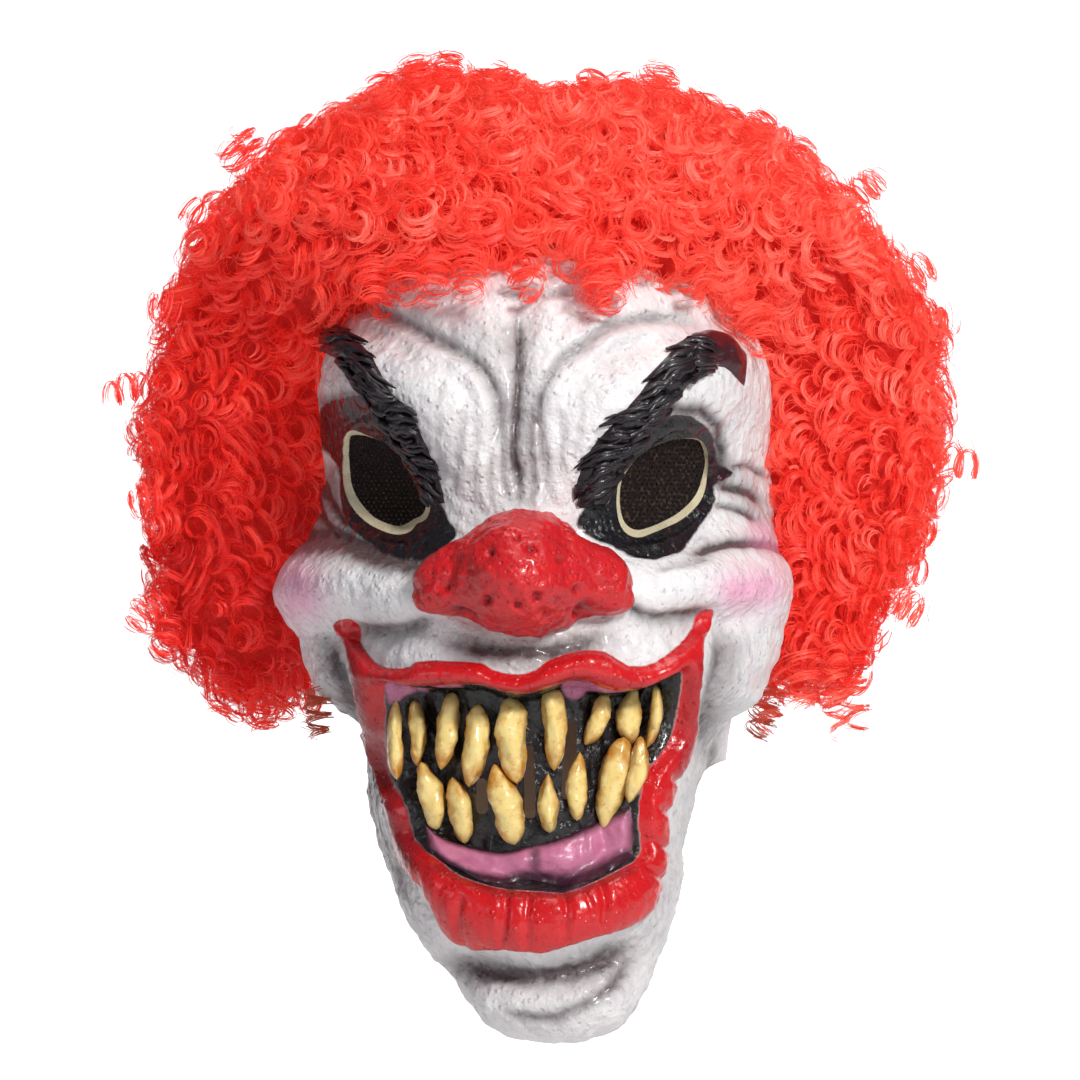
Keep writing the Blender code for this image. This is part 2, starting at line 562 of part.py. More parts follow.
def make_gauze(side, outer, normals, finish):
    """A patch of thin gauze behind one eye hole, over the cells of the shell that the hole touches."""
    outline = [front_view(*place) for place in EYE_OUTLINES[side]]
    low_x, high_x = min(p[0] for p in outline) - GAUZE_MARGIN, max(p[0] for p in outline) + GAUZE_MARGIN
    low_z, high_z = min(p[1] for p in outline) - GAUZE_MARGIN, max(p[1] for p in outline) + GAUZE_MARGIN
    near = (outer[..., 0] > low_x) & (outer[..., 0] < high_x) & (outer[..., 1] < 0)
    near &= (outer[..., 2] > low_z) & (outer[..., 2] < high_z)
    rows, columns = np.where(near.any(axis=1))[0], np.where(near.any(axis=0))[0]
    rows = slice(rows[0], rows[-1] + 1)
    columns = slice(columns[0], columns[-1] + 1)
    front = outer[rows, columns] - (WALL + SEAT_GAP) * normals[rows, columns]
    back = front - GAUZE_THICKNESS * normals[rows, columns]
    high, wide = front.shape[:2]
    count = high * wide
    faces = grid_faces(high, wide, closed=False)
    faces += grid_faces(high, wide, flip=True, first=count, closed=False)
    edge = [i * wide for i in range(high)] + [(high - 1) * wide + j for j in range(1, wide)]
    edge += [i * wide + wide - 1 for i in range(high - 2, -1, -1)] + [j for j in range(wide - 2, 0, -1)]
    faces += [(b, a, a + count, b + count) for a, b in zip(edge, edge[1:] + edge[:1])]
    vertices = list(front.reshape(-1, 3)) + list(back.reshape(-1, 3))
    return add_object("eye_gauze_" + side, vertices, faces, finish)


# The wig

def lock_directions():
    """Evenly spread directions, one for each lock of curls."""
    golden = math.pi * (3 - math.sqrt(5))
    height = 1 - 2 * (np.arange(LOCK_COUNT) + 0.5) / LOCK_COUNT
    ring = np.sqrt(1 - height**2)
    turn = golden * np.arange(LOCK_COUNT)
    return np.stack([ring * np.cos(turn), ring * np.sin(turn), height], axis=1)


def hair_cover(azimuth, elevation):
    """1 where the hair has its full depth, 0 over the face and below the hair's lower edge."""
    side, top = np.abs(azimuth) / HAIRLINE_SIDE, np.clip(elevation, 0, None) / HAIRLINE_TOP
    beyond = (side**HAIRLINE_SQUARENESS + top**HAIRLINE_SQUARENESS) ** (1 / HAIRLINE_SQUARENESS) - 1
    above = (elevation - HAIR_BOTTOM) / HAIR_EDGE
    return smoothstep(0, HAIR_EDGE / HAIRLINE_TOP, beyond) * smoothstep(-0.5, 0.5, above)


def make_wig(seat, finish):
    """A ball of locks round the head; what lies inside the seat is cut away."""
    middle = Vector((0, WIG_SETBACK, WALL - WIG_MIDDLE_DOWN * MASK_HEIGHT))
    tall = WIG_TOP + WIG_MIDDLE_DOWN * MASK_HEIGHT
    locks = lock_directions()
    lock_angle = math.sqrt(4 * math.pi / LOCK_COUNT) * 0.62
    outline = list(zip(*HAIR_OUTLINE))
    tree = BVHTree.FromObject(seat, bpy.context.evaluated_depsgraph_get())

    def surface(azimuth, elevation):
        a, e = math.radians(azimuth), math.radians(elevation)
        way = Vector((math.sin(a) * math.cos(e), -math.cos(a) * math.cos(e), math.sin(e)))
        skin = tree.ray_cast(middle, way)[3]
        depth = WIG_FORE if way.y < 0 else WIG_AFT
        full = 1 / math.sqrt((way.x / WIG_HALF_WIDTH) ** 2 + (way.y / depth) ** 2 + (way.z / tall) ** 2)
        full *= 1 + LOWER_FULLNESS * float(smoothstep(10, -35, elevation))
        turn = (math.degrees(math.atan2(way.z, way.x)) + 90) % 360 - 90
        full *= 1 + (float(np.interp(turn, *outline)) - 1) * (1 - way.y**2)
        angle = math.acos(min(1.0, float((locks @ np.array(way)).max())))
        full += LOCK_RELIEF * (math.sqrt(max(0.0, 1 - (angle / lock_angle) ** 2)) - 0.5)
        cover = float(hair_cover(azimuth, elevation))
        return middle + way * (HIDDEN_DEPTH * skin * (1 - cover) + full * cover)

    vertices = [surface(0, 90)]
    for i in range(1, WIG_RINGS):
        for j in range(WIG_COLUMNS):
            azimuth = 360 * j / WIG_COLUMNS
            vertices.append(surface(azimuth if azimuth <= 180 else azimuth - 360, 90 - 180 * i / WIG_RINGS))
    vertices.append(surface(0, -90))
    last = len(vertices) - 1
    faces = grid_faces(WIG_RINGS - 1, WIG_COLUMNS, first=1)
    faces += fan(list(range(1, 1 + WIG_COLUMNS)), 0)
    faces += fan(list(range(last - WIG_COLUMNS, last)), last, flip=True)
    wig = add_object("wig", vertices, faces, finish)
    subtract(wig, seat)
    return wig


def main():
    for obj in list(bpy.data.objects):
        bpy.data.objects.remove(obj)
    latex = material("white_latex", (0.86, 0.85, 0.86), 0.35)
    red = material("red_latex", (0.72, 0.02, 0.02), 0.30)
    black = material("black_latex", (0.012, 0.012, 0.016), 0.25)
    pink = material("pink_gum", (0.75, 0.25, 0.42), 0.35)
    ivory = material("yellow_tooth", (0.82, 0.66, 0.30), 0.30)
    gauze = material("black_gauze", (0.02, 0.018, 0.018), 0.80)
    hair = material("red_hair", (0.80, 0.05, 0.02), 0.55)

    outer, normals = face_grids()
    seat = closed_head("face_seat", outer + SEAT_GAP * normals, (0, 0, WALL + SEAT_GAP))
    face = Face(seat)
    shell = make_shell(outer, normals, latex)
    cut_eye_holes(shell, face)
    cut_slots(shell)

    finishes = {"lip": red, "brow": black, "gum": pink}
    pieces = [make_band(band, face, finishes[band.name.split("_")[0]]) for band in BANDS]
    pieces.append(make_nose(face, red))
    pieces += [make_tooth(tooth, face, ivory) for tooth in TEETH]
    for piece in pieces:
        subtract(piece, seat)
    for side in EYE_OUTLINES:
        make_gauze(side, outer, normals, gauze)
    make_wig(seat, hair)


main()
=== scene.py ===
"""Clown mask of painted latex with a curly wig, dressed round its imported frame.

Metres, +Z up, the face looks along -Y. Places that follow the reference photograph are pixels of
its 1080 x 1080 frame, and seen() and on_skin() turn them into places on the mask.
"""

import math
from collections import namedtuple

import bpy
import numpy as np
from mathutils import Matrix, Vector, noise
from mathutils.bvhtree import BVHTree


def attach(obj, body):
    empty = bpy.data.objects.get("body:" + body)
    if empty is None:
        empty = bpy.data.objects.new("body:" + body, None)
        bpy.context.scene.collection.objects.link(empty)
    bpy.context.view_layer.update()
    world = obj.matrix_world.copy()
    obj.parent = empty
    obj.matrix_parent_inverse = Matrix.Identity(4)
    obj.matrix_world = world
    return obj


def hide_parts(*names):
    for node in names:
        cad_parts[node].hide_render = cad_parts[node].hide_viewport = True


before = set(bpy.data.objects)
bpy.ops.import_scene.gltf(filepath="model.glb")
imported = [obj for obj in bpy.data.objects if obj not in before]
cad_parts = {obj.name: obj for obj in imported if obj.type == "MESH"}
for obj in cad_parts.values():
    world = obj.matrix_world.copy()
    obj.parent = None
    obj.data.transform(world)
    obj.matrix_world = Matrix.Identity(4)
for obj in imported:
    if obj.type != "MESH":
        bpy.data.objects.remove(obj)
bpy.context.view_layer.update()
MM = 0.001
rng = np.random.default_rng(7)


# Studio: a seamless sheet of white paper, soft boxes and a long lens straight in front, turned a
# little to the viewer's right. Nothing in it belongs to the mask.

class Value:
    """A socket of a material that can be used in arithmetic, which adds Math nodes."""

    def __init__(self, finish, socket):
        self.finish, self.socket = finish, socket

    def math(self, operation, *others):
        sockets = dict(enumerate((self,) + others))
        return self.finish.node("Math", {"operation": operation}, sockets)

    def __add__(self, other):
        return self.math("ADD", other)

    def __sub__(self, other):
        return self.math("SUBTRACT", other)

    def __mul__(self, other):
        return self.math("MULTIPLY", other)

    def __rsub__(self, other):
        return self.finish.node("Math", {"operation": "SUBTRACT"}, {0: other, 1: self})

    __radd__, __rmul__ = __add__, __mul__

    def between(self, low, high):
        """0 at low, 1 at high, and a straight run between them."""
        return self.finish.node("MapRange", {"clamp": True}, {"Value": self, "From Min": low, "From Max": high})


class Finish:
    """A material on its Principled shader, built node by node."""

    def __init__(self, name, **constants):
        self.material = bpy.data.materials.new(name)
        self.material.use_nodes = True
        self.tree = self.material.node_tree
        self.shader = self.tree.nodes["Principled BSDF"]
        for socket, value in constants.items():
            self.shader.inputs[socket.replace("_", " ")].default_value = value

    def node(self, kind, settings, sockets, output=0):
        made = self.tree.nodes.new("ShaderNode" + kind)
        for name, value in settings.items():
            if name == "stops":
                ramp = made.color_ramp.elements
                while len(ramp) < len(value):
                    ramp.new(0.5)
                for element, (place, colour) in zip(ramp, value):
                    element.position, element.color = place, (*colour, 1)
            else:
                setattr(made, name, value)
        for name, value in sockets.items():
            if isinstance(value, Value):
                self.tree.links.new(value.socket, made.inputs[name])
            else:
                plain = isinstance(value, tuple) and len(value) == 3 and made.inputs[name].type == "RGBA"
                made.inputs[name].default_value = (*value, 1) if plain else value
        return Value(self, made.outputs[output])

    def blend(self, share, under, over, how="MIX"):
        settings = {"data_type": "RGBA", "blend_type": how, "clamp_factor": True}
        return self.node("Mix", settings, {0: share, 6: under, 7: over}, 2)

    def place(self):
        return self.node("TexCoord", {}, {}, "Object")

    def painted(self, name):
        """A value stored on the mesh, point by point."""
        return self.node("Attribute", {"attribute_name": name}, {}, "Fac")

    def noise(self, size, detail=3.0, roughness=0.55, stretch=(1, 1, 1)):
        """Noise from 0 to 1 whose lumps are about size across."""
        place = self.node("Mapping", {}, {"Vector": self.place(), "Scale": stretch})
        sockets = {"Vector": place, "Scale": 1 / size, "Detail": detail, "Roughness": roughness}
        return self.node("TexNoise", {}, sockets, "Fac")

    def cells(self, size):
        """Distance to the nearest of many scattered points, about size apart."""
        return self.node("TexVoronoi", {}, {"Vector": self.place(), "Scale": 1 / size}, "Distance")

    def bump(self, height, distance, under=None):
        sockets = {"Height": height, "Distance": distance}
        if under:
            sockets["Normal"] = under
        return self.node("Bump", {}, sockets)

    def finish(self, **links):
        for socket, value in links.items():
            self.tree.links.new(value.socket, self.shader.inputs[socket.replace("_", " ")])
        return self.material


def add_piece(name, vertices, faces, material, smooth=True):
    """A mesh piece of vertices and faces."""
    mesh = bpy.data.meshes.new(name)
    mesh.from_pydata(np.asarray(vertices, float).tolist(), [], faces)
    mesh.materials.append(material)
    if smooth:
        mesh.shade_smooth()
    piece = bpy.data.objects.new(name, mesh)
    bpy.context.scene.collection.objects.link(piece)
    return piece


def store(piece, name, values):
    """Keeps a value for each point of the piece's mesh under a name, for its material."""
    made = piece.data.attributes.new(name, "FLOAT", "POINT")
    made.data.foreach_set("value", np.asarray(values, np.float32).ravel())


SWEEP_WIDTH = 7.0
SWEEP_FLOOR = -0.46
SWEEP_RISE = 3.2
SWEEP_NEAR, SWEEP_FAR, SWEEP_BEND = -3.5, 5.0, 1.2
GLOW_FROM = 0.7  # the paper is lit from behind past this
profile = [(SWEEP_NEAR, SWEEP_FLOOR)]
for step in range(13):
    turn = math.radians(90 * step / 12)
    profile.append((SWEEP_FAR - SWEEP_BEND + SWEEP_BEND * math.sin(turn),
                    SWEEP_FLOOR + SWEEP_BEND - SWEEP_BEND * math.cos(turn)))
profile.append((SWEEP_FAR, SWEEP_FLOOR + SWEEP_RISE))
corners = [(side * SWEEP_WIDTH / 2, y, z) for y, z in profile for side in (-1, 1)]
quads = [(2 * i, 2 * i + 1, 2 * i + 3, 2 * i + 2) for i in range(len(profile) - 1)]
paper = Finish("white_paper", Base_Color=(0.93, 0.93, 0.94, 1), Roughness=0.9, Emission_Strength=0.9)
paper_tone = paper.blend(paper.noise(0.4), (0.92, 0.92, 0.93), (0.94, 0.94, 0.95))
back_lit = paper.node("SeparateXYZ", {}, {"Vector": paper.place()}, "Y").between(GLOW_FROM, GLOW_FROM + 0.6)
glow = paper.blend(back_lit, (0.0, 0.0, 0.0), (1.0, 1.0, 1.0))
sweep = add_piece("paper_sweep", corners, quads, paper.finish(Base_Color=paper_tone, Emission_Color=glow))


def soft_box(name, place, aim, size, power, tint):
    light = bpy.data.lights.new(name, "AREA")
    light.shape, light.size, light.energy, light.color = "DISK", size, power, tint
    lamp = bpy.data.objects.new(name, light)
    lamp.location = place
    lamp.rotation_euler = (Vector(aim) - Vector(place)).to_track_quat("-Z", "Y").to_euler()
    bpy.context.scene.collection.objects.link(lamp)


FACE_MIDDLE = (0, -0.08, -0.15)
soft_box("key", (0.85, -1.45, 0.75), FACE_MIDDLE, 0.36, 30, (1.0, 0.98, 0.96))
soft_box("fill", (-1.5, -1.3, 0.1), FACE_MIDDLE, 0.6, 2.6, (0.90, 0.90, 1.0))
soft_box("top", (0.1, -0.3, 1.5), FACE_MIDDLE, 0.8, 9, (1.0, 0.99, 0.97))
soft_box("rim", (-0.9, 1.3, 0.5), FACE_MIDDLE, 0.8, 6, (1.0, 1.0, 1.0))
world = bpy.data.worlds.new("studio")
bpy.context.scene.world = world
world.use_nodes = True
world.node_tree.nodes["Background"].inputs["Color"].default_value = (0.96, 0.97, 1.0, 1)
world.node_tree.nodes["Background"].inputs["Strength"].default_value = 0.13
bpy.context.scene.view_settings.view_transform = "Standard"

PHOTO_SIDE = 1080
CAMERA_TURN = math.radians(4)
CAMERA_DISTANCE = 2.2
CAMERA_LENS, CAMERA_SENSOR = 200, 36
AIM_HEIGHT = -136.5 * MM
AIM_ASIDE = -2.9 * MM
PIXELS = PHOTO_SIDE * CAMERA_LENS / CAMERA_SENSOR  # for each unit across at one unit of distance
right = Vector((math.cos(CAMERA_TURN), math.sin(CAMERA_TURN), 0))
ahead = Vector((-math.sin(CAMERA_TURN), math.cos(CAMERA_TURN), 0))
camera_data = bpy.data.cameras.new("camera")
camera_data.lens, camera_data.sensor_width, camera_data.clip_end = CAMERA_LENS, CAMERA_SENSOR, 30
camera = bpy.data.objects.new("camera", camera_data)
camera.location = Vector((0, 0, AIM_HEIGHT)) + right * AIM_ASIDE - ahead * CAMERA_DISTANCE
camera.rotation_euler = (math.pi / 2, 0, CAMERA_TURN)
bpy.context.scene.collection.objects.link(camera)
bpy.context.scene.camera = camera


def seen(points):
    """The photograph's pixel of each point, as two arrays."""
    away = points - np.array(camera.location)
    depth = away @ np.array(ahead)
    middle = PHOTO_SIDE / 2
    return middle + PIXELS * (away @ np.array(right)) / depth, middle - PIXELS * away[..., 2] / depth


def sight(px, py):
    """The unit vector from the camera through a pixel."""
    across, up = (px - PHOTO_SIDE / 2) / PIXELS, (PHOTO_SIDE / 2 - py) / PIXELS
    return (ahead + right * across + Vector((0, 0, up))).normalized()


# Latex head: one hollow casting of white latex, 2.5 mm thick, with its brow pads, cheek rolls,
# muzzle, lips and chin moulded in. It is painted by hand and by airbrush: grey in the creases,
# black round the eyes, pink on the cheeks, glossy red on the lips and black inside the mouth.
# Painted shade lies with the grey in the creases and darkens the hollows under the nose, the jaw,
# the chin, the lips' inner edges and the sides of the head.

MASK_HEIGHT = 313 * MM  # crown to the underside of the chin
HALF_WIDTH = 90 * MM
FRONT_DEPTH = 112 * MM
BACK_DEPTH = 106 * MM
WALL = 2.5 * MM
RELIEF = 10 * MM
MOUTH_DEPTH = 12 * MM
MOUTH_EDGE = 5.5 * MM
LIP_RISE = 5.5 * MM
PIXEL = 0.353 * MM  # at the face

# Rows of the loft from the crown to the neck, as shares of the sizes above. front, side, back: how
# far down. width: half width. fore, middle, aft: reach from the crown axis. skew: lean of the chin.
Ring = namedtuple("Ring", "front side back width fore middle aft skew")
RINGS = (
    Ring(0.000, 0.000, 0.000, 0.000, 0.000, 0.000, 0.000, 0.000),
    Ring(0.012, 0.012, 0.012, 0.290, 0.270, 0.000, 0.260, 0.000),
    Ring(0.045, 0.045, 0.045, 0.500, 0.464, 0.000, 0.470, 0.000),
    Ring(0.095, 0.095, 0.095, 0.672, 0.652, 0.000, 0.660, 0.000),
    Ring(0.155, 0.155, 0.155, 0.783, 0.786, 0.000, 0.810, 0.000),
    Ring(0.220, 0.220, 0.220, 0.856, 0.866, 0.000, 0.915, 0.000),
    Ring(0.290, 0.280, 0.270, 0.915, 0.929, 0.000, 0.980, 0.000),
    Ring(0.375, 0.355, 0.335, 0.920, 0.893, 0.000, 1.000, 0.000),
    Ring(0.440, 0.415, 0.400, 0.930, 0.920, 0.000, 1.000, 0.000),
    Ring(0.505, 0.470, 0.455, 0.940, 0.964, 0.000, 0.970, 0.000),
    Ring(0.570, 0.520, 0.510, 0.910, 0.990, 0.000, 0.935, 0.000),
    Ring(0.640, 0.565, 0.565, 0.860, 1.005, 0.000, 0.895, 0.000),
    Ring(0.720, 0.610, 0.620, 0.790, 1.020, 0.020, 0.860, 0.000),
    Ring(0.800, 0.650, 0.670, 0.750, 1.020, 0.045, 0.830, 0.030),
    Ring(0.865, 0.675, 0.710, 0.733, 1.005, 0.070, 0.810, 0.060),
    Ring(0.920, 0.690, 0.745, 0.728, 0.955, 0.090, 0.800, 0.080),
    Ring(0.965, 0.697, 0.770, 0.722, 0.935, 0.105, 0.790, 0.100),
    Ring(0.998, 0.700, 0.790, 0.722, 0.840, 0.120, 0.785, 0.117),
    Ring(0.985, 0.703, 0.800, 0.722, 0.660, 0.130, 0.785, 0.110),
)
LEAN_TURN = 0.65
SECTION_ROUNDNESS = 0.92
ROW_SAG = 2.4

# Main bulges: height as a share of RELIEF, spread and across as shares of HALF_WIDTH, down as a
# share of MASK_HEIGHT.
Form = namedtuple("Form", "height spread path")
FORMS = (
    Form(0.75, 0.20, ((-0.66, 0.25), (-0.46, 0.29), (-0.26, 0.35))),
    Form(0.75, 0.20, ((0.72, 0.24), (0.48, 0.29), (0.24, 0.35))),
    Form(-0.35, 0.06, ((-0.03, 0.18), (-0.02, 0.23), (-0.04, 0.31), (-0.03, 0.39))),
    Form(-0.30, 0.08, ((-0.71, 0.19), (-0.38, 0.22), (-0.18, 0.28), (-0.08, 0.36))),
    Form(-0.30, 0.08, ((0.80, 0.20), (0.48, 0.21), (0.20, 0.26), (0.06, 0.36))),
    Form(-1.00, 0.25, ((-0.56, 0.37), (-0.56, 0.40))),
    Form(-1.00, 0.25, ((0.53, 0.37), (0.52, 0.40))),
    Form(0.60, 0.13, ((-0.01, 0.36), (-0.01, 0.46))),
    Form(1.15, 0.16, ((-0.40, 0.507), (-0.62, 0.49), (-0.90, 0.50), (-1.00, 0.55), (-0.84, 0.61))),
    Form(0.55, 0.22, ((-0.95, 0.50), (-0.98, 0.56))),
    Form(1.05, 0.16, ((0.40, 0.497), (0.62, 0.487), (0.86, 0.50), (0.91, 0.54), (0.79, 0.61))),
    Form(-0.35, 0.07, ((-0.36, 0.545), (-0.58, 0.553), (-0.73, 0.54))),
    Form(-0.35, 0.07, ((0.36, 0.54), (0.58, 0.545), (0.73, 0.53))),
    Form(0.55, 0.17, ((-0.42, 0.575), (0.00, 0.575), (0.46, 0.57))),
    Form(0.45, 0.15, ((-0.32, 0.85), (0.00, 0.88), (0.34, 0.855))),
    Form(-0.60, 0.08, ((-0.26, 0.92), (0.06, 0.935), (0.34, 0.915))),
    Form(0.45, 0.16, ((-0.10, 0.965), (0.10, 0.975), (0.28, 0.955))),
    Form(-0.35, 0.06, ((-0.66, 0.66), (-0.60, 0.74), (-0.50, 0.82))),
    Form(-0.35, 0.06, ((0.70, 0.65), (0.64, 0.73), (0.56, 0.80))),
)

# Folds and ridges in pixels: rise in mm (furrows are below 0), half width, the darkening there,
# airbrushed grey together with painted shade, and the line.
Fold = namedtuple("Fold", "rise wide grime line")
FOLDS = (
    Fold(-2.6, 6, 0.40, ((337, 306), (357, 305), (390, 315), (423, 333), (457, 350), (473, 361), (487, 377), (498, 403), (499, 428), (491, 445))),
    Fold(1.6, 7, 0.0, ((340, 320), (388, 328), (420, 347), (452, 364), (470, 380), (482, 405), (484, 430))),
    Fold(-2.4, 5, 0.40, ((700, 325), (678, 320), (653, 318), (620, 323), (602, 330), (583, 345), (562, 358), (550, 375), (541, 388), (537, 412), (541, 437), (545, 470), (547, 503))),
    Fold(1.5, 7, 0.0, ((690, 336), (653, 332), (617, 338), (592, 355), (570, 372), (556, 390), (552, 415))),
    Fold(-2.2, 3.5, 0.45, ((518, 312), (520, 353), (518, 387), (515, 420), (513, 453), (518, 478), (518, 503))),
    Fold(-1.8, 5, 0.35, ((505, 296), (540, 295), (575, 291))),
    Fold(-1.6, 5, 0.30, ((630, 283), (660, 278), (690, 272))),
    Fold(-1.0, 5, 0.20, ((463, 403), (458, 450), (453, 503))),
    Fold(-0.8, 4, 0.12, ((440, 410), (436, 440), (446, 480))),
    Fold(-0.7, 4, 0.15, ((478, 420), (474, 460), (470, 505))),
    Fold(-1.2, 4, 0.35, ((532, 400), (530, 440), (533, 480), (531, 508))),
    Fold(-1.0, 3, 0.30, ((505, 430), (503, 465), (506, 500))),
    Fold(-0.9, 3, 0.25, ((493, 450), (489, 480), (492, 508))),
    Fold(-0.8, 4, 0.15, ((558, 400), (562, 440), (560, 480))),
    Fold(-0.8, 4, 0.12, ((580, 400), (578, 430), (572, 462))),
    Fold(-1.3, 3, 0.60, ((318, 470), (330, 500), (350, 530))),
    Fold(-1.3, 3, 0.55, ((312, 490), (322, 515), (340, 538))),
    Fold(-1.6, 5, 0.75, ((300, 545), (330, 533), (370, 548), (420, 562), (450, 556))),
    Fold(-1.6, 4, 0.55, ((717, 487), (740, 490), (764, 503))),
    Fold(-1.4, 3, 0.50, ((728, 468), (748, 466), (768, 478))),
    Fold(-1.4, 3, 0.50, ((712, 505), (735, 508), (760, 522))),
    Fold(-2.0, 4, 0.85, ((690, 553), (712, 547), (735, 543), (765, 545), (790, 556))),
    Fold(-1.2, 4, 0.30, ((655, 568), (685, 563), (712, 556))),
    Fold(1.4, 4, 0.0, ((640, 452), (655, 437), (676, 428), (697, 428))),
    Fold(-1.2, 3, 0.0, ((636, 444), (652, 429), (674, 419), (700, 419))),
    Fold(1.2, 4, 0.0, ((630, 545), (660, 546), (690, 531), (712, 505), (722, 475))),
    Fold(-1.0, 3, 0.0, ((625, 553), (660, 554), (694, 539), (718, 512))),
    Fold(1.2, 4, 0.0, ((345, 440), (362, 424), (384, 426), (404, 444))),
    Fold(-1.0, 3, 0.0, ((338, 430), (360, 414), (384, 415), (404, 430))),
    Fold(1.0, 4, 0.0, ((345, 500), (358, 528), (385, 545), (415, 545), (438, 520))),
    Fold(-2.8, 6, 0.55, ((352, 626), (380, 632), (412, 628), (436, 617))),
    Fold(-2.6, 6, 0.55, ((622, 604), (650, 618), (690, 617), (712, 611))),
    Fold(-1.6, 9, 0.45, ((452, 640), (500, 652), (560, 650), (600, 636))),
    Fold(1.4, 9, 0.0, ((498, 655), (520, 664), (545, 655))),
    Fold(-1.6, 7, 0.45, ((327, 640), (338, 672), (352, 712), (368, 760), (378, 800))),
    Fold(-1.0, 5, 0.20, ((350, 730), (366, 790), (386, 850), (410, 905))),
    Fold(-1.5, 7, 0.35, ((722, 622), (718, 660), (706, 710), (700, 760))),
    Fold(-1.2, 4, 0.30, ((716, 735), (706, 790), (688, 850))),
    Fold(-2.2, 8, 0.45, ((448, 962), (490, 972), (540, 976), (590, 967), (632, 945))),
    Fold(-1.6, 7, 0.50, ((500, 1012), (540, 1020), (570, 1012), (610, 988), (634, 960))),
    Fold(-2.2, 4, 0.0, ((507, 882), (508, 910), (506, 944))),
    Fold(-1.4, 4, 0.0, ((530, 890), (529, 946))),
    Fold(-1.9, 4, 0.0, ((561, 886), (566, 908), (563, 930))),
    Fold(-1.0, 2, 0.0, ((578, 884), (586, 900), (590, 922))),
    Fold(-1.9, 4, 0.0, ((596, 880), (600, 900), (598, 925))),
    Fold(-1.9, 4, 0.0, ((636, 866), (650, 878), (659, 882))),
    Fold(-1.9, 4, 0.0, ((643, 838), (655, 846), (664, 850))),
    Fold(-1.8, 4, 0.0, ((650, 806), (662, 812), (672, 812))),
    Fold(-1.8, 4, 0.0, ((660, 775), (670, 780), (680, 780))),
    Fold(-1.6, 4, 0.0, ((430, 880), (425, 900), (433, 918))),
    Fold(-1.6, 4, 0.0, ((468, 895), (466, 920), (470, 945))),
)

# Soft marks with no relief: strength, half width and line. SHADES are painted shade laid with the
# grey airbrush; BLUSHES and MAROONS are pink and maroon airbrush.
Shade = namedtuple("Shade", "strength wide line")
SHADES = (
    Shade(0.80, 12, ((300, 548), (340, 545), (385, 562), (420, 566))),
    Shade(0.60, 11, ((318, 490), (306, 525), (290, 545))),
    Shade(0.35, 16, ((330, 650), (336, 690), (348, 730))),
    Shade(0.35, 15, ((730, 650), (724, 690), (712, 720))),
    Shade(0.30, 22, ((460, 645), (530, 655), (600, 640))),
    Shade(0.30, 16, ((516, 330), (516, 420), (516, 500))),
    Shade(0.22, 18, ((420, 300), (470, 320), (500, 345))),
    Shade(0.25, 16, ((360, 760), (385, 850), (420, 930))),
    Shade(0.25, 20, ((700, 760), (680, 860), (650, 930))),
    Shade(0.30, 16, ((450, 965), (540, 980), (625, 955))),
    Shade(0.25, 14, ((720, 470), (745, 490), (765, 520))),
    Shade(0.22, 18, ((345, 370), (350, 395))),
)
BLUSHES = (Shade(0.95, 25, ((296, 582), (300, 598))), Shade(0.95, 22, ((738, 592), (765, 588))),
           Shade(0.6, 13, ((760, 532), (775, 545))))
MAROONS = (Shade(1.0, 8, ((672, 409), (700, 410), (716, 425), (721, 450), (720, 480))),
           Shade(0.8, 8, ((326, 402), (345, 396), (372, 396), (392, 408))), Shade(0.6, 8, ((332, 470), (336, 510), (350, 535))))

# Painted shade on the lips along the inner edges of the mouth, deepest down the viewer's left.
LIP_SHADES = (Shade(0.75, 9, ((356, 655), (368, 690), (380, 740), (392, 790), (408, 835), (420, 862))),
              Shade(0.45, 6, ((692, 665), (684, 720), (668, 770))), Shade(0.5, 5, ((440, 868), (500, 893), (570, 896), (625, 872))),
              Shade(0.4, 5, ((385, 678), (450, 680), (515, 688), (580, 674), (640, 682))))

# Painted outlines in pixels.
MOUTH = ((388, 683), (416, 686), (452, 685), (480, 685), (517, 694), (545, 689), (578, 680), (609, 690),
         (638, 689), (666, 677), (681, 672), (679, 701), (671, 736), (648, 771), (640, 795), (638, 824),
         (640, 853), (622, 868), (571, 891), (535, 891), (499, 888), (463, 877), (442, 862), (416, 839),
         (406, 805), (391, 777), (386, 742), (386, 707))
LIPS = ((357, 627), (364, 648), (382, 666), (408, 667), (420, 661), (458, 661), (482, 663), (494, 670),
        (517, 674), (535, 670), (549, 660), (576, 651), (602, 651), (620, 661), (631, 666), (652, 663),
        (678, 645), (696, 622), (708, 612), (714, 614), (702, 648), (697, 686), (693, 724), (684, 759), (670, 795),
        (664, 824), (662, 862), (658, 891), (649, 912), (628, 927), (593, 938), (564, 947), (540, 953),
        (505, 950), (467, 947), (444, 930), (432, 903), (417, 880), (403, 853), (397, 818), (385, 783),
        (373, 748), (362, 712), (353, 671), (344, 645), (334, 627), (338, 620), (350, 619))
EYE_PAINTS = (
    ((320, 420), (323, 445), (330, 457), (338, 470), (342, 512), (352, 530), (370, 543), (390, 553), (413, 558),
     (427, 557), (440, 550), (457, 535), (450, 520), (436, 495), (425, 460), (408, 425), (392, 405), (370, 395),
     (345, 397), (326, 404)),
    ((577, 525), (584, 508), (600, 495), (618, 470), (634, 446), (650, 428), (668, 418), (688, 416), (704, 424),
     (713, 436), (717, 450), (719, 463), (734, 474), (716, 485), (714, 503), (704, 520), (690, 540),
     (678, 552), (653, 558), (637, 557), (613, 547), (590, 537)),
)
UPPER_GUMS = (((384, 682), (396, 684), (408, 690), (404, 702), (396, 700), (388, 706)),
              ((428, 684), (446, 680), (462, 684), (456, 694), (436, 693)),
              ((562, 683), (590, 682), (628, 688), (626, 697), (600, 698), (590, 706), (570, 704)))


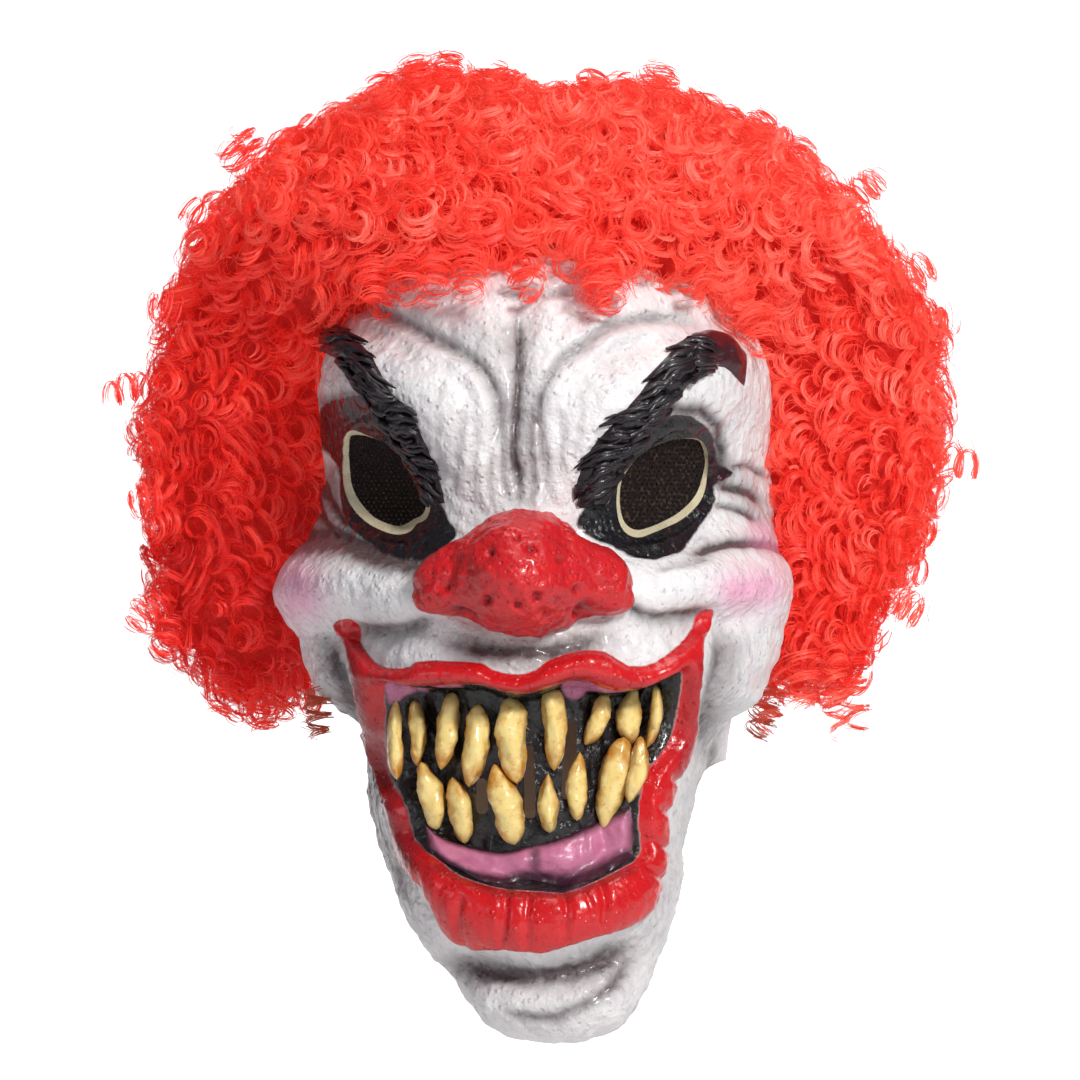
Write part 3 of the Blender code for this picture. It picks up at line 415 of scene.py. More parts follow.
def smooth_path(points, count, closed=False):
    """count points along a Catmull-Rom curve through the points."""
    p = np.asarray(points, float)
    spans = len(p) if closed else len(p) - 1
    p = np.vstack([p[-1], p, p[:2]] if closed else [2 * p[0] - p[1], p, 2 * p[-1] - p[-2]])
    t = np.linspace(0, spans, count, endpoint=not closed)
    i = np.minimum(t.astype(int), spans - 1)
    f = (t - i)[:, None]
    a, b, c, d = p[i], p[i + 1], p[i + 2], p[i + 3]
    return 0.5 * (2 * b + (c - a) * f + (2 * a - 5 * b + 4 * c - d) * f**2 + (3 * b - a - 3 * c + d) * f**3)


def from_line(x, y, line):
    """Distance of each x, y to the line, and the share of the line's length where it is nearest."""
    line = np.asarray(line, float)
    lengths = np.hypot(*np.diff(line, axis=0).T)
    before = np.concatenate([[0], np.cumsum(lengths)])
    best, share = np.full(x.shape, np.inf), np.zeros(x.shape)
    for (ax, ay), (bx, by), start, length in zip(line, line[1:], before, lengths):
        t = np.clip(((x - ax) * (bx - ax) + (y - ay) * (by - ay)) / max(length**2, 1e-12), 0, 1)
        distance = np.hypot(x - ax - t * (bx - ax), y - ay - t * (by - ay))
        nearer = distance < best
        best = np.where(nearer, distance, best)
        share = np.where(nearer, (start + t * length) / before[-1], share)
    return best, share


def depth_inside(x, y, outline):
    """Distance of each x, y to the closed outline: above 0 inside it, below 0 outside."""
    outline = smooth_path(outline, 4 * len(outline), closed=True)
    closed = np.vstack([outline, outline[:1]])
    inside = np.zeros(x.shape, bool)
    for (ax, ay), (bx, by) in zip(closed, closed[1:]):
        if ay != by:
            inside ^= ((ay > y) != (by > y)) & (x < ax + (bx - ax) * (y - ay) / (by - ay))
    distance = from_line(x, y, closed)[0]
    return np.where(inside, distance, -distance)


def smoothstep(low, high, value):
    t = np.clip((value - low) / (high - low), 0, 1)
    return t * t * (3 - 2 * t)


def grid_faces(rows, columns, closed=True, first=0):
    """Quads of a grid, which closes round its columns or not."""
    wide = columns if closed else columns - 1
    return [(first + i * columns + j, first + (i + 1) * columns + j,
             first + (i + 1) * columns + (j + 1) % columns, first + i * columns + (j + 1) % columns)
            for i in range(rows - 1) for j in range(wide)]


def grid_normals(grid):
    down = np.gradient(grid, axis=0)
    around = np.roll(grid, -1, axis=1) - np.roll(grid, 1, axis=1)
    normal = np.cross(down, around)
    return normal / np.maximum(np.linalg.norm(normal, axis=2, keepdims=True), 1e-12)


def base_grid(stations, angles):
    """The head without its relief, as rows x columns x 3."""
    p = np.array(RINGS)
    p = np.vstack([2 * p[0] - p[1], p, 2 * p[-1] - p[-2]])
    i = np.minimum(stations.astype(int), len(RINGS) - 2)
    f = (stations - i)[:, None]
    a, b, c, d = p[i], p[i + 1], p[i + 2], p[i + 3]
    rows = 0.5 * (2 * b + (c - a) * f + (2 * a - 5 * b + 4 * c - d) * f**2 + (3 * b - a - 3 * c + d) * f**3)
    row = Ring(*(column[:, None] for column in rows.T))
    s, c = np.sin(angles)[None, :], np.cos(angles)[None, :]
    across = np.sign(s) * np.abs(s) ** SECTION_ROUNDNESS
    forward = np.sign(c) * np.abs(c) ** SECTION_ROUNDNESS
    lean = np.clip(c, 0, 1) * (c - LEAN_TURN) / (1 - LEAN_TURN)
    x = HALF_WIDTH * (row.width * across + row.skew * lean)
    middle = FRONT_DEPTH * row.middle
    reach = np.where(c > 0, FRONT_DEPTH * row.fore + middle, BACK_DEPTH * row.aft - middle)
    y = middle - reach * forward
    end = np.where(c > 0, row.front, row.back)
    sag = np.where(c > 0, 1 - np.abs(s) ** ROW_SAG, smoothstep(0.95, 0.45, np.abs(s)))
    down = row.side + (end - row.side) * sag
    return np.stack(np.broadcast_arrays(x, y, WALL - MASK_HEIGHT * down), axis=2)


def lumps(points, size, seed, depth=2):
    """Smooth noise from about -1 to 1 at each point."""
    flat = points.reshape(-1, 3) / size + seed
    made = [noise.fractal(Vector(p), 1.0, 2.0, depth) for p in flat]
    return np.array(made).reshape(points.shape[:-1])


def mould_head(stations, angles, fine=True):
    """The outer surface of the latex and the values that its paint and its painted shade follow."""
    base = base_grid(stations, angles)
    facing = np.clip(4 * np.cos(angles), 0, 1)[None, :]
    x, z = base[..., 0], base[..., 2]
    height = np.zeros(x.shape)
    for form in FORMS:
        line = [(a * HALF_WIDTH, WALL - d * MASK_HEIGHT) for a, d in form.path]
        distance = from_line(x, z, line)[0]
        height += form.height * RELIEF * np.exp(-((distance / (form.spread * HALF_WIDTH)) ** 2))
    outer = base + (height * facing)[..., None] * grid_normals(base)
    px, py = seen(outer)
    behind = np.where(np.cos(angles) > 0, 0, 1e6)[None, :]
    px = px + behind
    paint = {"mouth": depth_inside(px, py, MOUTH) * PIXEL, "lip_edge": depth_inside(px, py, LIPS) * PIXEL}
    detail = np.zeros(x.shape)
    # Painted shade with the grey airbrush follows the folds and the soft marks.
    grime = np.zeros(x.shape)
    for fold in FOLDS:
        distance, share = from_line(px, py, smooth_path(fold.line, 4 * len(fold.line)))
        taper = np.minimum(1, 5 * np.minimum(share, 1 - share) + 0.25)
        detail += fold.rise * MM * taper * np.exp(-((distance / fold.wide) ** 2))
        grime += fold.grime * taper * (np.exp(-((distance / fold.wide) ** 2)) + 0.35 * np.exp(-((distance / (2.6 * fold.wide)) ** 2)))
    for shade in SHADES:
        distance = from_line(px, py, shade.line)[0]
        grime += shade.strength * np.exp(-((distance / shade.wide) ** 2))
    for name, marks in (("blush", BLUSHES), ("maroon", MAROONS)):
        paint[name] = sum(m.strength * np.exp(-((from_line(px, py, m.line)[0] / m.wide) ** 2)) for m in marks)
    lip = np.minimum(paint["lip_edge"], -paint["mouth"])
    share = np.clip(paint["lip_edge"], 0, None)
    share = share / np.maximum(share + np.clip(-paint["mouth"], 0, None), 1e-9)
    swell = np.sqrt(np.clip(4 * share * (1 - share), 0, 1)) * smoothstep(-0.3 * MM, 2 * MM, lip)
    detail += LIP_RISE * np.where(lip > 0, swell, 0)
    if fine:
        detail += 0.9 * MM * lumps(base, 26 * MM, 3.1) * (lip < 0)
        detail += 0.85 * MM * lumps(base, 7 * MM, 9.4) * (lip < 0)
        detail += 0.40 * MM * lumps(base, 3.0 * MM, 1.7)
    detail -= MOUTH_DEPTH * smoothstep(-0.3 * MM, MOUTH_EDGE, paint["mouth"])
    outer = outer + (detail * facing)[..., None] * grid_normals(outer)
    paint["lip"] = lip
    paint["grime"] = grime
    edge = np.abs(np.degrees(angles))[None, :] + np.zeros(x.shape)
    # Painted shade: darker towards the sides of the head, more on the viewer's left, away from the key light.
    paint["side"] = smoothstep(48, 88, edge) * np.where(np.sin(angles) < 0, 1.0, 0.6)[None, :]
    # Painted shade on the lips' inner edges.
    paint["lip_dark"] = sum(m.strength * np.exp(-((from_line(px, py, m.line)[0] / m.wide) ** 2)) for m in LIP_SHADES)
    paint["eye_black"] = np.maximum(*(depth_inside(px, py, outline) for outline in EYE_PAINTS)) * PIXEL
    gums = [depth_inside(px, py, outline) for outline in UPPER_GUMS]
    paint["gum"] = np.maximum.reduce(gums) * PIXEL
    return outer, paint


FRONT_COLUMNS, BACK_COLUMNS, FACE_ROWS = 300, 28, 250
angles = np.radians(np.concatenate([np.linspace(-90, 90, FRONT_COLUMNS + 1),
                                    np.linspace(90, 270, BACK_COLUMNS + 1)[1:-1]]))
stations = np.concatenate([[0.02, 0.5, 1.0, 1.5, 2.0, 2.5, 3.0, 3.4], np.linspace(3.8, 17.0, FACE_ROWS),
                           [17.25, 17.5, 17.75, 18.0]])
skin, paint = mould_head(stations, angles)
whole_skin = BVHTree.FromPolygons(skin.reshape(-1, 3).tolist(), grid_faces(*skin.shape[:2]))


def on_skin(px, py, behind=0.0):
    """The place on the latex at a pixel, moved behind it along the line of sight, and its normal.

    A pixel just past the edge of the face takes the nearest place inwards.
    """
    place = None
    while place is None:
        way = sight(px, py)
        place, normal, _, _ = whole_skin.ray_cast(camera.location, way)
        px += 1 if px < PHOTO_SIDE / 2 else -1
    return place + way * behind, normal


# Eye openings: the gauze's outline in pixels, and how far the raw cut edge shows outside it there.
Rim = namedtuple("Rim", "x y shows")
EYES = {
    "left": (
        Rim(350, 438, 6), Rim(349, 453, 7), Rim(350, 470, 8), Rim(352, 485, 9), Rim(357, 497, 10), Rim(365, 508, 10),
        Rim(374, 517, 9), Rim(386, 523, 9), Rim(397, 526, 9), Rim(406, 524, 9), Rim(414, 519, 6), Rim(422, 515, 6),
        Rim(426, 507, 5), Rim(427, 498, 2), Rim(427, 488, 0.5), Rim(418, 473, 0.5), Rim(398, 455, 0.5), Rim(383, 442, 0.5),
        Rim(366, 436, 1.5), Rim(355, 435, 5),
    ),
    "right": (
        Rim(622, 480, 3), Rim(620, 492, 3.5), Rim(620, 505, 4), Rim(623, 519, 5), Rim(629, 527, 7), Rim(638, 530, 8),
        Rim(650, 527, 7), Rim(662, 522, 7), Rim(678, 513, 8), Rim(692, 500, 8), Rim(699, 488, 7), Rim(703, 474, 5),
        Rim(705, 462, 4), Rim(703, 449, 4), Rim(697, 440, 1.5), Rim(678, 439, 0.5), Rim(658, 445, 0.5), Rim(640, 456, 0.5),
        Rim(629, 468, 0.8),
    ),
}
SLOTS = (((482, 778), (482, 814), 6), ((529, 744), (530, 820), 5.5), ((571, 722), (568, 800), 7))


def edge_rings(rims, count, extra=0.0):
    """The gauze's outline, and the outline of the hole in the latex, extra pixels wider, point for point."""
    line = smooth_path(rims, count, closed=True)
    inner, shows = line[:, :2], np.clip(line[:, 2:], 0.3, None)
    along = np.roll(inner, -2, axis=0) - np.roll(inner, 2, axis=0)
    out = np.stack([along[:, 1], -along[:, 0]], axis=1)
    out /= np.linalg.norm(out, axis=1, keepdims=True)
    middle = inner.mean(axis=0)
    if ((inner - middle) * out).sum() < 0:
        out = -out
    return inner, inner + out * (shows + extra)


def slot_outline(slot):
    """A round-ended slot in pixels from its top, bottom and half width."""
    (top_x, top_y), (low_x, low_y), half = slot
    turns = np.radians(np.arange(0, 360, 30))
    return [((top_x if math.sin(t) < 0 else low_x) + half * math.cos(t),
             (top_y + half if math.sin(t) < 0 else low_y - half) + half * math.sin(t)) for t in turns]


def open_holes(grid, outlines, angles):
    """Moves the points next to each outline onto it and returns the faces that stay."""
    px, py = seen(grid)
    px = px + np.where(np.cos(angles) > 0, 0, 1e6)[None, :]
    depth = np.maximum.reduce([depth_inside(px, py, outline) for outline in outlines])
    inside = depth > 0
    total, weight = np.zeros(grid.shape), np.zeros(depth.shape)
    for di in (-1, 0, 1):
        for dj in (-1, 0, 1):
            other = np.roll(grid, (di, dj), axis=(0, 1))
            outer = np.roll(depth, (di, dj), axis=(0, 1))
            crosses = inside & (outer <= 0)
            t = np.where(crosses, depth / np.maximum(depth - outer, 1e-9), 0)
            total += np.where(crosses[..., None], grid + (other - grid) * t[..., None], 0)
            weight += crosses
    moved = grid.copy()
    edge = weight > 0
    moved[edge] = total[edge] / weight[edge][:, None]
    flat = inside.ravel()
    faces = [face for face in grid_faces(*depth.shape) if not all(flat[v] for v in face)]
    return moved, faces


eye_holes = [edge_rings(rims, 120, -0.5)[1] for rims in EYES.values()]
cut_skin, skin_faces = open_holes(skin, eye_holes + [slot_outline(slot) for slot in SLOTS], angles)

latex = Finish("painted_latex", Coat_Roughness=0.12, Specular_IOR_Level=0.4)
pearl = latex.blend(latex.noise(30 * MM), (0.72, 0.71, 0.73), (0.82, 0.81, 0.81))
pearl = latex.blend(latex.noise(9 * MM, 5).between(0.50, 0.75) * 0.30, pearl, (0.52, 0.46, 0.58))
speckle = latex.noise(2.2 * MM, 4)
# Painted shade with the grey airbrush in the creases and hollows, and painted shade down the sides.
grime = latex.painted("grime") * (0.75 + 1.2 * latex.noise(4 * MM, 5)) + latex.painted("side") * 0.22
colour = latex.blend(grime.between(0.06, 1.15), pearl, (0.10, 0.078, 0.082))
# The pits are painted a little darker: painted shade in them.
pit = latex.cells(6.5 * MM).between(0.17, 0.05)
colour = latex.blend(pit * 0.04 * (0.2 * MM - latex.painted("lip")).between(0.0, 0.2 * MM), colour, (0.34, 0.30, 0.34))
colour = latex.blend(latex.painted("blush") * (0.6 + 0.5 * speckle), colour, (0.83, 0.33, 0.52))
ragged = (latex.noise(3 * MM, 3) - 0.5) * 1.2 * MM
eye_black = (latex.painted("eye_black") + ragged).between(-0.35 * MM, 0.45 * MM)
black = latex.blend(latex.painted("maroon") * latex.noise(5 * MM).between(0.3, 0.6), (0.006, 0.0055, 0.008), (0.045, 0.006, 0.012))
airbrush = latex.painted("maroon") * (0.70 + 0.5 * latex.noise(3 * MM, 4))
colour = latex.blend(airbrush * 0.97, colour, (0.018, 0.006, 0.011))
colour = latex.blend(eye_black, colour, black)
lining = latex.painted("mouth").between(-0.5 * MM, 0.2 * MM)
colour = latex.blend(lining, colour, (0.008, 0.007, 0.008))
gum = (latex.painted("gum") + ragged).between(-0.2 * MM, 0.9 * MM)
colour = latex.blend(gum, colour, latex.blend(speckle, (0.62, 0.22, 0.38), (0.35, 0.08, 0.18)))
lip = (latex.painted("lip") + 0.3 * ragged).between(-0.15 * MM, 0.25 * MM)
red = latex.blend(latex.noise(12 * MM, 4), (0.50, 0.005, 0.010), (0.68, 0.010, 0.013))
# Painted shade darkens the lips along their inner edges, with dark flecks at random.
red = latex.blend(latex.painted("lip_dark") + latex.noise(1.2 * MM, 2).between(0.60, 0.75) * 0.3, red, (0.16, 0.003, 0.008))
colour = latex.blend(lip, colour, red)
glossy = latex.node("Math", {"operation": "MAXIMUM"}, {0: eye_black, 1: lip})
glossy = latex.node("Math", {"operation": "MAXIMUM"}, {0: glossy, 1: lining})
relief = latex.bump(latex.noise(3.6 * MM, 4, 0.5) * (1 - 0.55 * lip), 1.5 * MM)
grain = latex.cells(3.3 * MM).between(0.30, 0.10)
pit_depth = pit * (0.2 * MM - latex.painted("lip")).between(0.0, 0.2 * MM)
relief = latex.bump(grain * 0.7 - pit_depth, 0.50 * MM, relief)
relief = latex.bump(latex.noise(0.5 * MM, 2), 0.05 * MM, relief)
latex_material = latex.finish(
    Base_Color=colour, Roughness=0.36 - 0.14 * glossy + 0.12 * latex.noise(6 * MM), Normal=relief,
    Coat_Weight=0.28 + 0.06 * glossy)

head = add_piece("latex_head", cut_skin.reshape(-1, 3), skin_faces, latex_material)
for name, values in paint.items():
    store(head, name, values)
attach(head, "root")
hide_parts("mask_shell", "lip_upper", "lip_lower")

# Inside of the casting: bare cream latex, 2.5 mm behind the paint, smooth where it lay against the
# slush in the mould. It turns out over the trimmed rim of the neck. It is coloured a darker brown
# than cream latex, painted shade for the shadowed inside that shows through the holes and at the neck.

INSIDE_STEP = 4
INSIDE_MARGIN = 5  # pixels that its holes are wider than those of the painted side
inside_columns = np.concatenate([np.arange(0, FRONT_COLUMNS, INSIDE_STEP), np.arange(FRONT_COLUMNS, len(angles))])
inside_rows = np.unique(np.concatenate([np.arange(0, 8), np.arange(8, len(stations), INSIDE_STEP), [len(stations) - 1]]))
picked = np.ix_(inside_rows, inside_columns)
outer = skin[picked]
core_line = np.stack([outer[..., 0] * 0, outer[..., 1] * 0, np.clip(outer[..., 2], -0.40, -0.11)], axis=2)
outward = outer - core_line
outward /= np.linalg.norm(outward, axis=2, keepdims=True)
behind = np.where(inside_rows < len(stations) - 4, 2 * WALL, WALL)[:, None, None]
inner = outer - behind * outward
wide_holes = [edge_rings(rims, 60, INSIDE_MARGIN)[1] for rims in EYES.values()]
wide_holes += [slot_outline((top, low, half + 2 * INSIDE_MARGIN)) for top, low, half in SLOTS]
inner, inside_faces = open_holes(inner, wide_holes, angles[inside_columns])
rim = len(inner) * inner.shape[1]
points = list(inner.reshape(-1, 3)) + list(outer[-1])
inside_faces = [face[::-1] for face in inside_faces]
wide = inner.shape[1]
for j in range(wide):
    k = (j + 1) % wide
    inside_faces.append((rim - wide + j, rim - wide + k, rim + k, rim + j))
bare = Finish("bare_latex", Roughness=0.55, Specular_IOR_Level=0.4)
# Darker brown than cream latex: painted shade for the shadowed inside.
tone = bare.blend(bare.noise(25 * MM), (0.20, 0.125, 0.08), (0.28, 0.18, 0.11))
tone = bare.blend(bare.noise(2 * MM).between(0.60, 0.72) * 0.5, tone, (0.14, 0.09, 0.05))
bare_material = bare.finish(Base_Color=tone, Normal=bare.bump(bare.noise(3 * MM, 4), 0.3 * MM))
lining_piece = add_piece("latex_inside", points, inside_faces, bare_material)
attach(lining_piece, "root")


# Eye openings: each is cut out by hand with a blade held askew, so the raw cream edge of the latex
# shows along its outer and lower side. Black open gauze is glued behind the hole.

RIM_DEPTH = 2.6 * MM
GAUZE_DEPTH = 3.1 * MM
GAUZE_PITCH = 1.75 * MM
GAUZE_HOLE = 0.50  # of the pitch
GAUZE_THICKNESS = 0.35 * MM
raw = Finish("cut_edge", Roughness=0.5, Specular_IOR_Level=0.4)
tone = raw.blend(raw.noise(6 * MM), (0.60, 0.52, 0.34), (0.76, 0.70, 0.50))
tone = raw.blend(raw.noise(0.9 * MM, 2).between(0.62, 0.70) * 0.7, tone, (0.25, 0.18, 0.10))
raw_material = raw.finish(Base_Color=tone, Normal=raw.bump(raw.noise(1.5 * MM), 0.15 * MM))
net = Finish("black_net", Roughness=0.8, Specular_IOR_Level=0.12)
thread = net.blend(net.noise(4 * MM), (0.006, 0.005, 0.006), (0.014, 0.010, 0.011))
# Painted glints on the threads, brighter towards the right eye, where the key light falls.
to_right = net.node("SeparateXYZ", {}, {"Vector": net.place()}, "X").between(0, 20 * MM)
glint = net.noise(1.3 * MM, 2).between(0.54, 0.66) * (0.05 + 0.55 * to_right)
net_material = net.finish(Base_Color=net.blend(glint, thread, (0.085, 0.055, 0.038)))
for side, rims in EYES.items():
    inner_line, outer_line = edge_rings(rims, 120)
    rows = []
    for share in (0, 0.15, 0.5, 0.85, 1):
        line = outer_line + (inner_line - outer_line) * share
        rows += [on_skin(x, y, RIM_DEPTH * share + 0.05 * MM)[0] for x, y in line]
    lip_ring = add_piece("eye_edge_" + side, rows, grid_faces(5, 120), raw_material)
    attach(lip_ring, "root")

    pitch = GAUZE_PITCH / PIXEL
    low, high = inner_line.min(axis=0) - 2 * pitch, inner_line.max(axis=0) + 2 * pitch
    points, faces = [], []
    row_step = pitch * math.sqrt(3) / 2
    for i in range(int((high[1] - low[1]) / row_step) + 1):
        for j in range(int((high[0] - low[0]) / pitch) + 1):
            x, y = low[0] + (j + 0.5 * (i % 2)) * pitch, low[1] + i * row_step
            if depth_inside(np.array([x]), np.array([y]), inner_line[::4])[0] < -1.4 * pitch:
                continue
            first = len(points)
            for behind, radius in ((0, 1 / math.sqrt(3)), (0, GAUZE_HOLE / 2), (GAUZE_THICKNESS, GAUZE_HOLE / 2)):
                for k in range(6):
                    turn = math.radians(30 + 60 * k)
                    points.append(on_skin(x + pitch * radius * math.cos(turn), y + pitch * radius * math.sin(turn),
                                          GAUZE_DEPTH + behind)[0])
            faces += grid_faces(3, 6, first=first)
    gauze = add_piece("eye_net_" + side, points, faces, net_material, smooth=False)
    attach(gauze, "root")
    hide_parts("eye_gauze_" + side)


# Nose: a bulb of latex joined to two flat nostril wings, moulded lumpy and pitted like a
# strawberry and painted glossy red, with darker red left in the pits. The darkening of the pits is
# partly painted shade, and that under the nostril wings is painted shadow.

NOSE_HALF_WIDTH = 38 * MM
NOSE_HALF_HEIGHT = 22 * MM
NOSE_REACH = 37 * MM
WING_HEIGHT = 13 * MM
WING_REACH = 16 * MM
WING_DROP = 5 * MM
NOSE_ROWS, NOSE_COLUMNS = 140, 210
NOSE_BLEND = 5
WING_SQUARENESS = 3
NOSE_MIDDLE = (523, 574)
# Pits in pixels: place, radius and depth in mm.
NOSE_PITS = ((490, 552, 4, 2.6), (516, 538, 4, 2.2), (530, 548, 5, 2.6), (486, 600, 5, 3.6), (518, 606, 4, 2.8),
             (537, 597, 6, 3.2), (446, 588, 4, 2.2), (508, 575, 4, 0.9), (562, 560, 5, 1.5), (577, 589, 4, 2.2),
             (556, 602, 5, 1.4), (600, 585, 4, 1.0), (548, 578, 4, 1.0), (470, 570, 3, 0.9), (450, 612, 5, 1.5),
             (500, 625, 5, 1.2), (545, 615, 5, 1.2), (612, 600, 4, 1.0), (581, 566, 4, 0.9), (428, 598, 3, 1.0))
NOSTRILS = ((458, 622, 13, 7.0), (590, 616, 13, 7.0))

nose_root = Vector(on_skin(*NOSE_MIDDLE)[0])
nose_points = []
for i in range(NOSE_ROWS + 1):
    tilt = math.pi * i / NOSE_ROWS
    for j in range(NOSE_COLUMNS):
        turn = 2 * math.pi * j / NOSE_COLUMNS
        way = np.array((math.sin(tilt) * math.sin(turn), -math.sin(tilt) * math.cos(turn), math.cos(tilt)))
        bulb = ((way / (NOSE_HALF_HEIGHT, NOSE_REACH, NOSE_HALF_HEIGHT)) ** 2).sum()
        wing = (np.abs(way / (NOSE_HALF_WIDTH, WING_REACH, WING_HEIGHT)) ** WING_SQUARENESS).sum()
        reach = (bulb ** (-NOSE_BLEND / 2) + wing ** (-NOSE_BLEND / WING_SQUARENESS)) ** (1 / NOSE_BLEND)
        place = way * reach
        place[2] -= WING_DROP * (place[0] / NOSE_HALF_WIDTH) ** 2
        nose_points.append(place)
nose_grid = np.array(nose_points).reshape(NOSE_ROWS + 1, NOSE_COLUMNS, 3)
nose_out = nose_grid / np.maximum(np.linalg.norm(nose_grid, axis=2, keepdims=True), 1e-9)
nose_grid = nose_grid + np.array(nose_root)
px, py = seen(nose_grid)
facing = np.clip(-3 * nose_out[..., 1], 0, 1)
swell = 1.4 * MM * lumps(nose_grid, 12 * MM, 5.5) + 0.95 * MM * lumps(nose_grid, 5.5 * MM, 2.2)
swell += 0.28 * MM * lumps(nose_grid, 2.2 * MM, 8.1)
# Darker red in the pits, partly paint and partly painted shade, and painted shadow at the nostrils.
pitted = np.zeros(px.shape)
for x, y, wide, deep in NOSE_PITS + NOSTRILS:
    mark = np.exp(-(((px - x) ** 2 + (py - y) ** 2) / wide**2)) * facing
    swell -= deep * MM * mark
    pitted += mark * min(deep, 2) / 2
nose_grid = nose_grid + swell[..., None] * nose_out
gloss = Finish("red_nose_paint", Specular_IOR_Level=0.35, Coat_Roughness=0.12, Coat_Weight=0.3)
red = gloss.blend(gloss.noise(11 * MM, 5), (0.42, 0.007, 0.014), (0.68, 0.011, 0.014))
fine_pit = gloss.cells(2.7 * MM).between(0.30, 0.08)
red = gloss.blend(gloss.painted("pitted").between(0.35, 1.2), red, (0.10, 0.003, 0.009))
red = gloss.blend(fine_pit * gloss.noise(9 * MM).between(0.45, 0.65) * 0.6, red, (0.20, 0.004, 0.012))
relief = gloss.bump(gloss.noise(3.0 * MM, 4, 0.5), 1.1 * MM)
relief = gloss.bump(1 - fine_pit, 0.4 * MM, relief)
nose_material = gloss.finish(Base_Color=red, Roughness=0.26 + 0.25 * gloss.noise(3 * MM), Normal=relief)
nose = add_piece("nose_bulb", nose_grid.reshape(-1, 3), grid_faces(NOSE_ROWS + 1, NOSE_COLUMNS), nose_material)
store(nose, "pitted", pitted)
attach(nose, "root")
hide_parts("nose")


# Brows: thick black latex combed into strands while wet, ragged along the upper edge. The right one
# hooks down at its outer end, where it is smooth and maroon.

Brow = namedtuple("Brow", "upper lower comb strands")
BROWS = {
    "left": Brow(
        ((330, 319), (352, 335), (372, 356), (390, 390), (408, 408), (423, 438), (437, 470), (446, 503)),
        ((318, 352), (340, 362), (356, 384), (378, 412), (392, 438), (412, 466), (426, 490), (434, 504)),
        0.9, 80),
    "right": Brow(
        ((747, 352), (728, 335), (700, 331), (668, 354), (640, 392), (612, 424), (592, 447), (577, 480), (578, 508)),
        ((744, 389), (724, 368), (702, 374), (677, 398), (656, 424), (638, 446), (622, 474), (606, 494), (590, 508)),
        -0.9, 85),
}
BROW_RISE = 4.0 * MM
BROW_LONG, BROW_WIDE = 90, 20
tar = Finish("combed_black", Specular_IOR_Level=0.35, Coat_Weight=0.35, Coat_Roughness=0.12)
tone = tar.blend(tar.noise(8 * MM), (0.005, 0.0045, 0.007), (0.016, 0.010, 0.015))
tone = tar.blend(tar.painted("maroon") * (0.35 + 0.5 * tar.noise(3 * MM, 4)), tone, (0.060, 0.006, 0.012))
tar_material = tar.finish(Base_Color=tone, Roughness=0.25 + 0.2 * tar.noise(3 * MM),
                          Normal=tar.bump(tar.noise(0.8 * MM, 3), 0.25 * MM))
for side, brow in BROWS.items():
    upper, lower = smooth_path(brow.upper, BROW_LONG), smooth_path(brow.lower, BROW_LONG)
    points, tints = [], []
    for i in range(BROW_LONG):
        for j in range(BROW_WIDE):
            share = j / (BROW_WIDE - 1)
            x, y = upper[i] + (lower[i] - upper[i]) * share
            place, normal = on_skin(x, y)
            end = min(1, 6 * min(i, BROW_LONG - 1 - i) / BROW_LONG + 0.2)
            along = i / BROW_LONG
            comb = math.sin(2 * math.pi * (2.2 * share + 15 * along) + 3 * noise.noise(Vector((i * 0.09, share * 2, 1))))
            smooth_part = smoothstep(0.28, 0.15, along) if side == "right" else 0.0
            height = BROW_RISE * math.sin(math.pi * min(max(share, 0.0), 1.0)) ** 0.6 * end
            height *= 1 + 0.25 * comb * (1 - smooth_part) + 0.2 * noise.noise(place / (5 * MM))
            points.append(place + normal * (height - 0.4 * MM))
            tints.append(smooth_part)
    ribs = len(points)
    faces = grid_faces(BROW_LONG, BROW_WIDE, closed=False)
    for number in range(brow.strands):
        along = rng.uniform(0.24 if side == "right" else 0.06, 0.95)
        share = rng.uniform(0.05, 0.95)
        i = along * (BROW_LONG - 1)
        step = rng.uniform(8, 14)
        line = []
        for k in range(7):
            t = k / 6
            at = min(max(i + step * (t - 0.5), 0), BROW_LONG - 1.001)
            cross = share + 0.60 * (0.45 - t) * (0.4 + 0.6 * (1 - share))
            up, down = upper[int(at)], lower[int(at)]
            x, y = up + (down - up) * cross
            place, normal = on_skin(x, y)
            lift = BROW_RISE * (0.75 * max(0.0, math.sin(math.pi * min(max(cross, 0), 1))) ** 0.6 + 0.30)
            line.append((place + normal * lift, normal))
        first = len(points)
        thick = rng.uniform(0.9, 1.7) * MM
        for k, (place, normal) in enumerate(line):
            before, after = line[max(k - 1, 0)][0], line[min(k + 1, 6)][0]
            aside = (after - before).normalized().cross(normal).normalized()
            t = k / 6
            half = thick * max(0.15, math.sin(math.pi * min(t * 0.85 + 0.15, 1.0))) ** 0.7
            for turn in range(5):
                a = 2 * math.pi * turn / 5
                points.append(place + aside * half * math.cos(a) + normal * half * math.sin(a))
                tints.append(smoothstep(0.30, 0.18, along) if side == "right" else 0.0)
        faces += grid_faces(7, 5, first=first)
    piece = add_piece("brow_strands_" + side, points, faces, tar_material)
    store(piece, "maroon", tints)
    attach(piece, "root")
    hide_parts("brow_" + side)
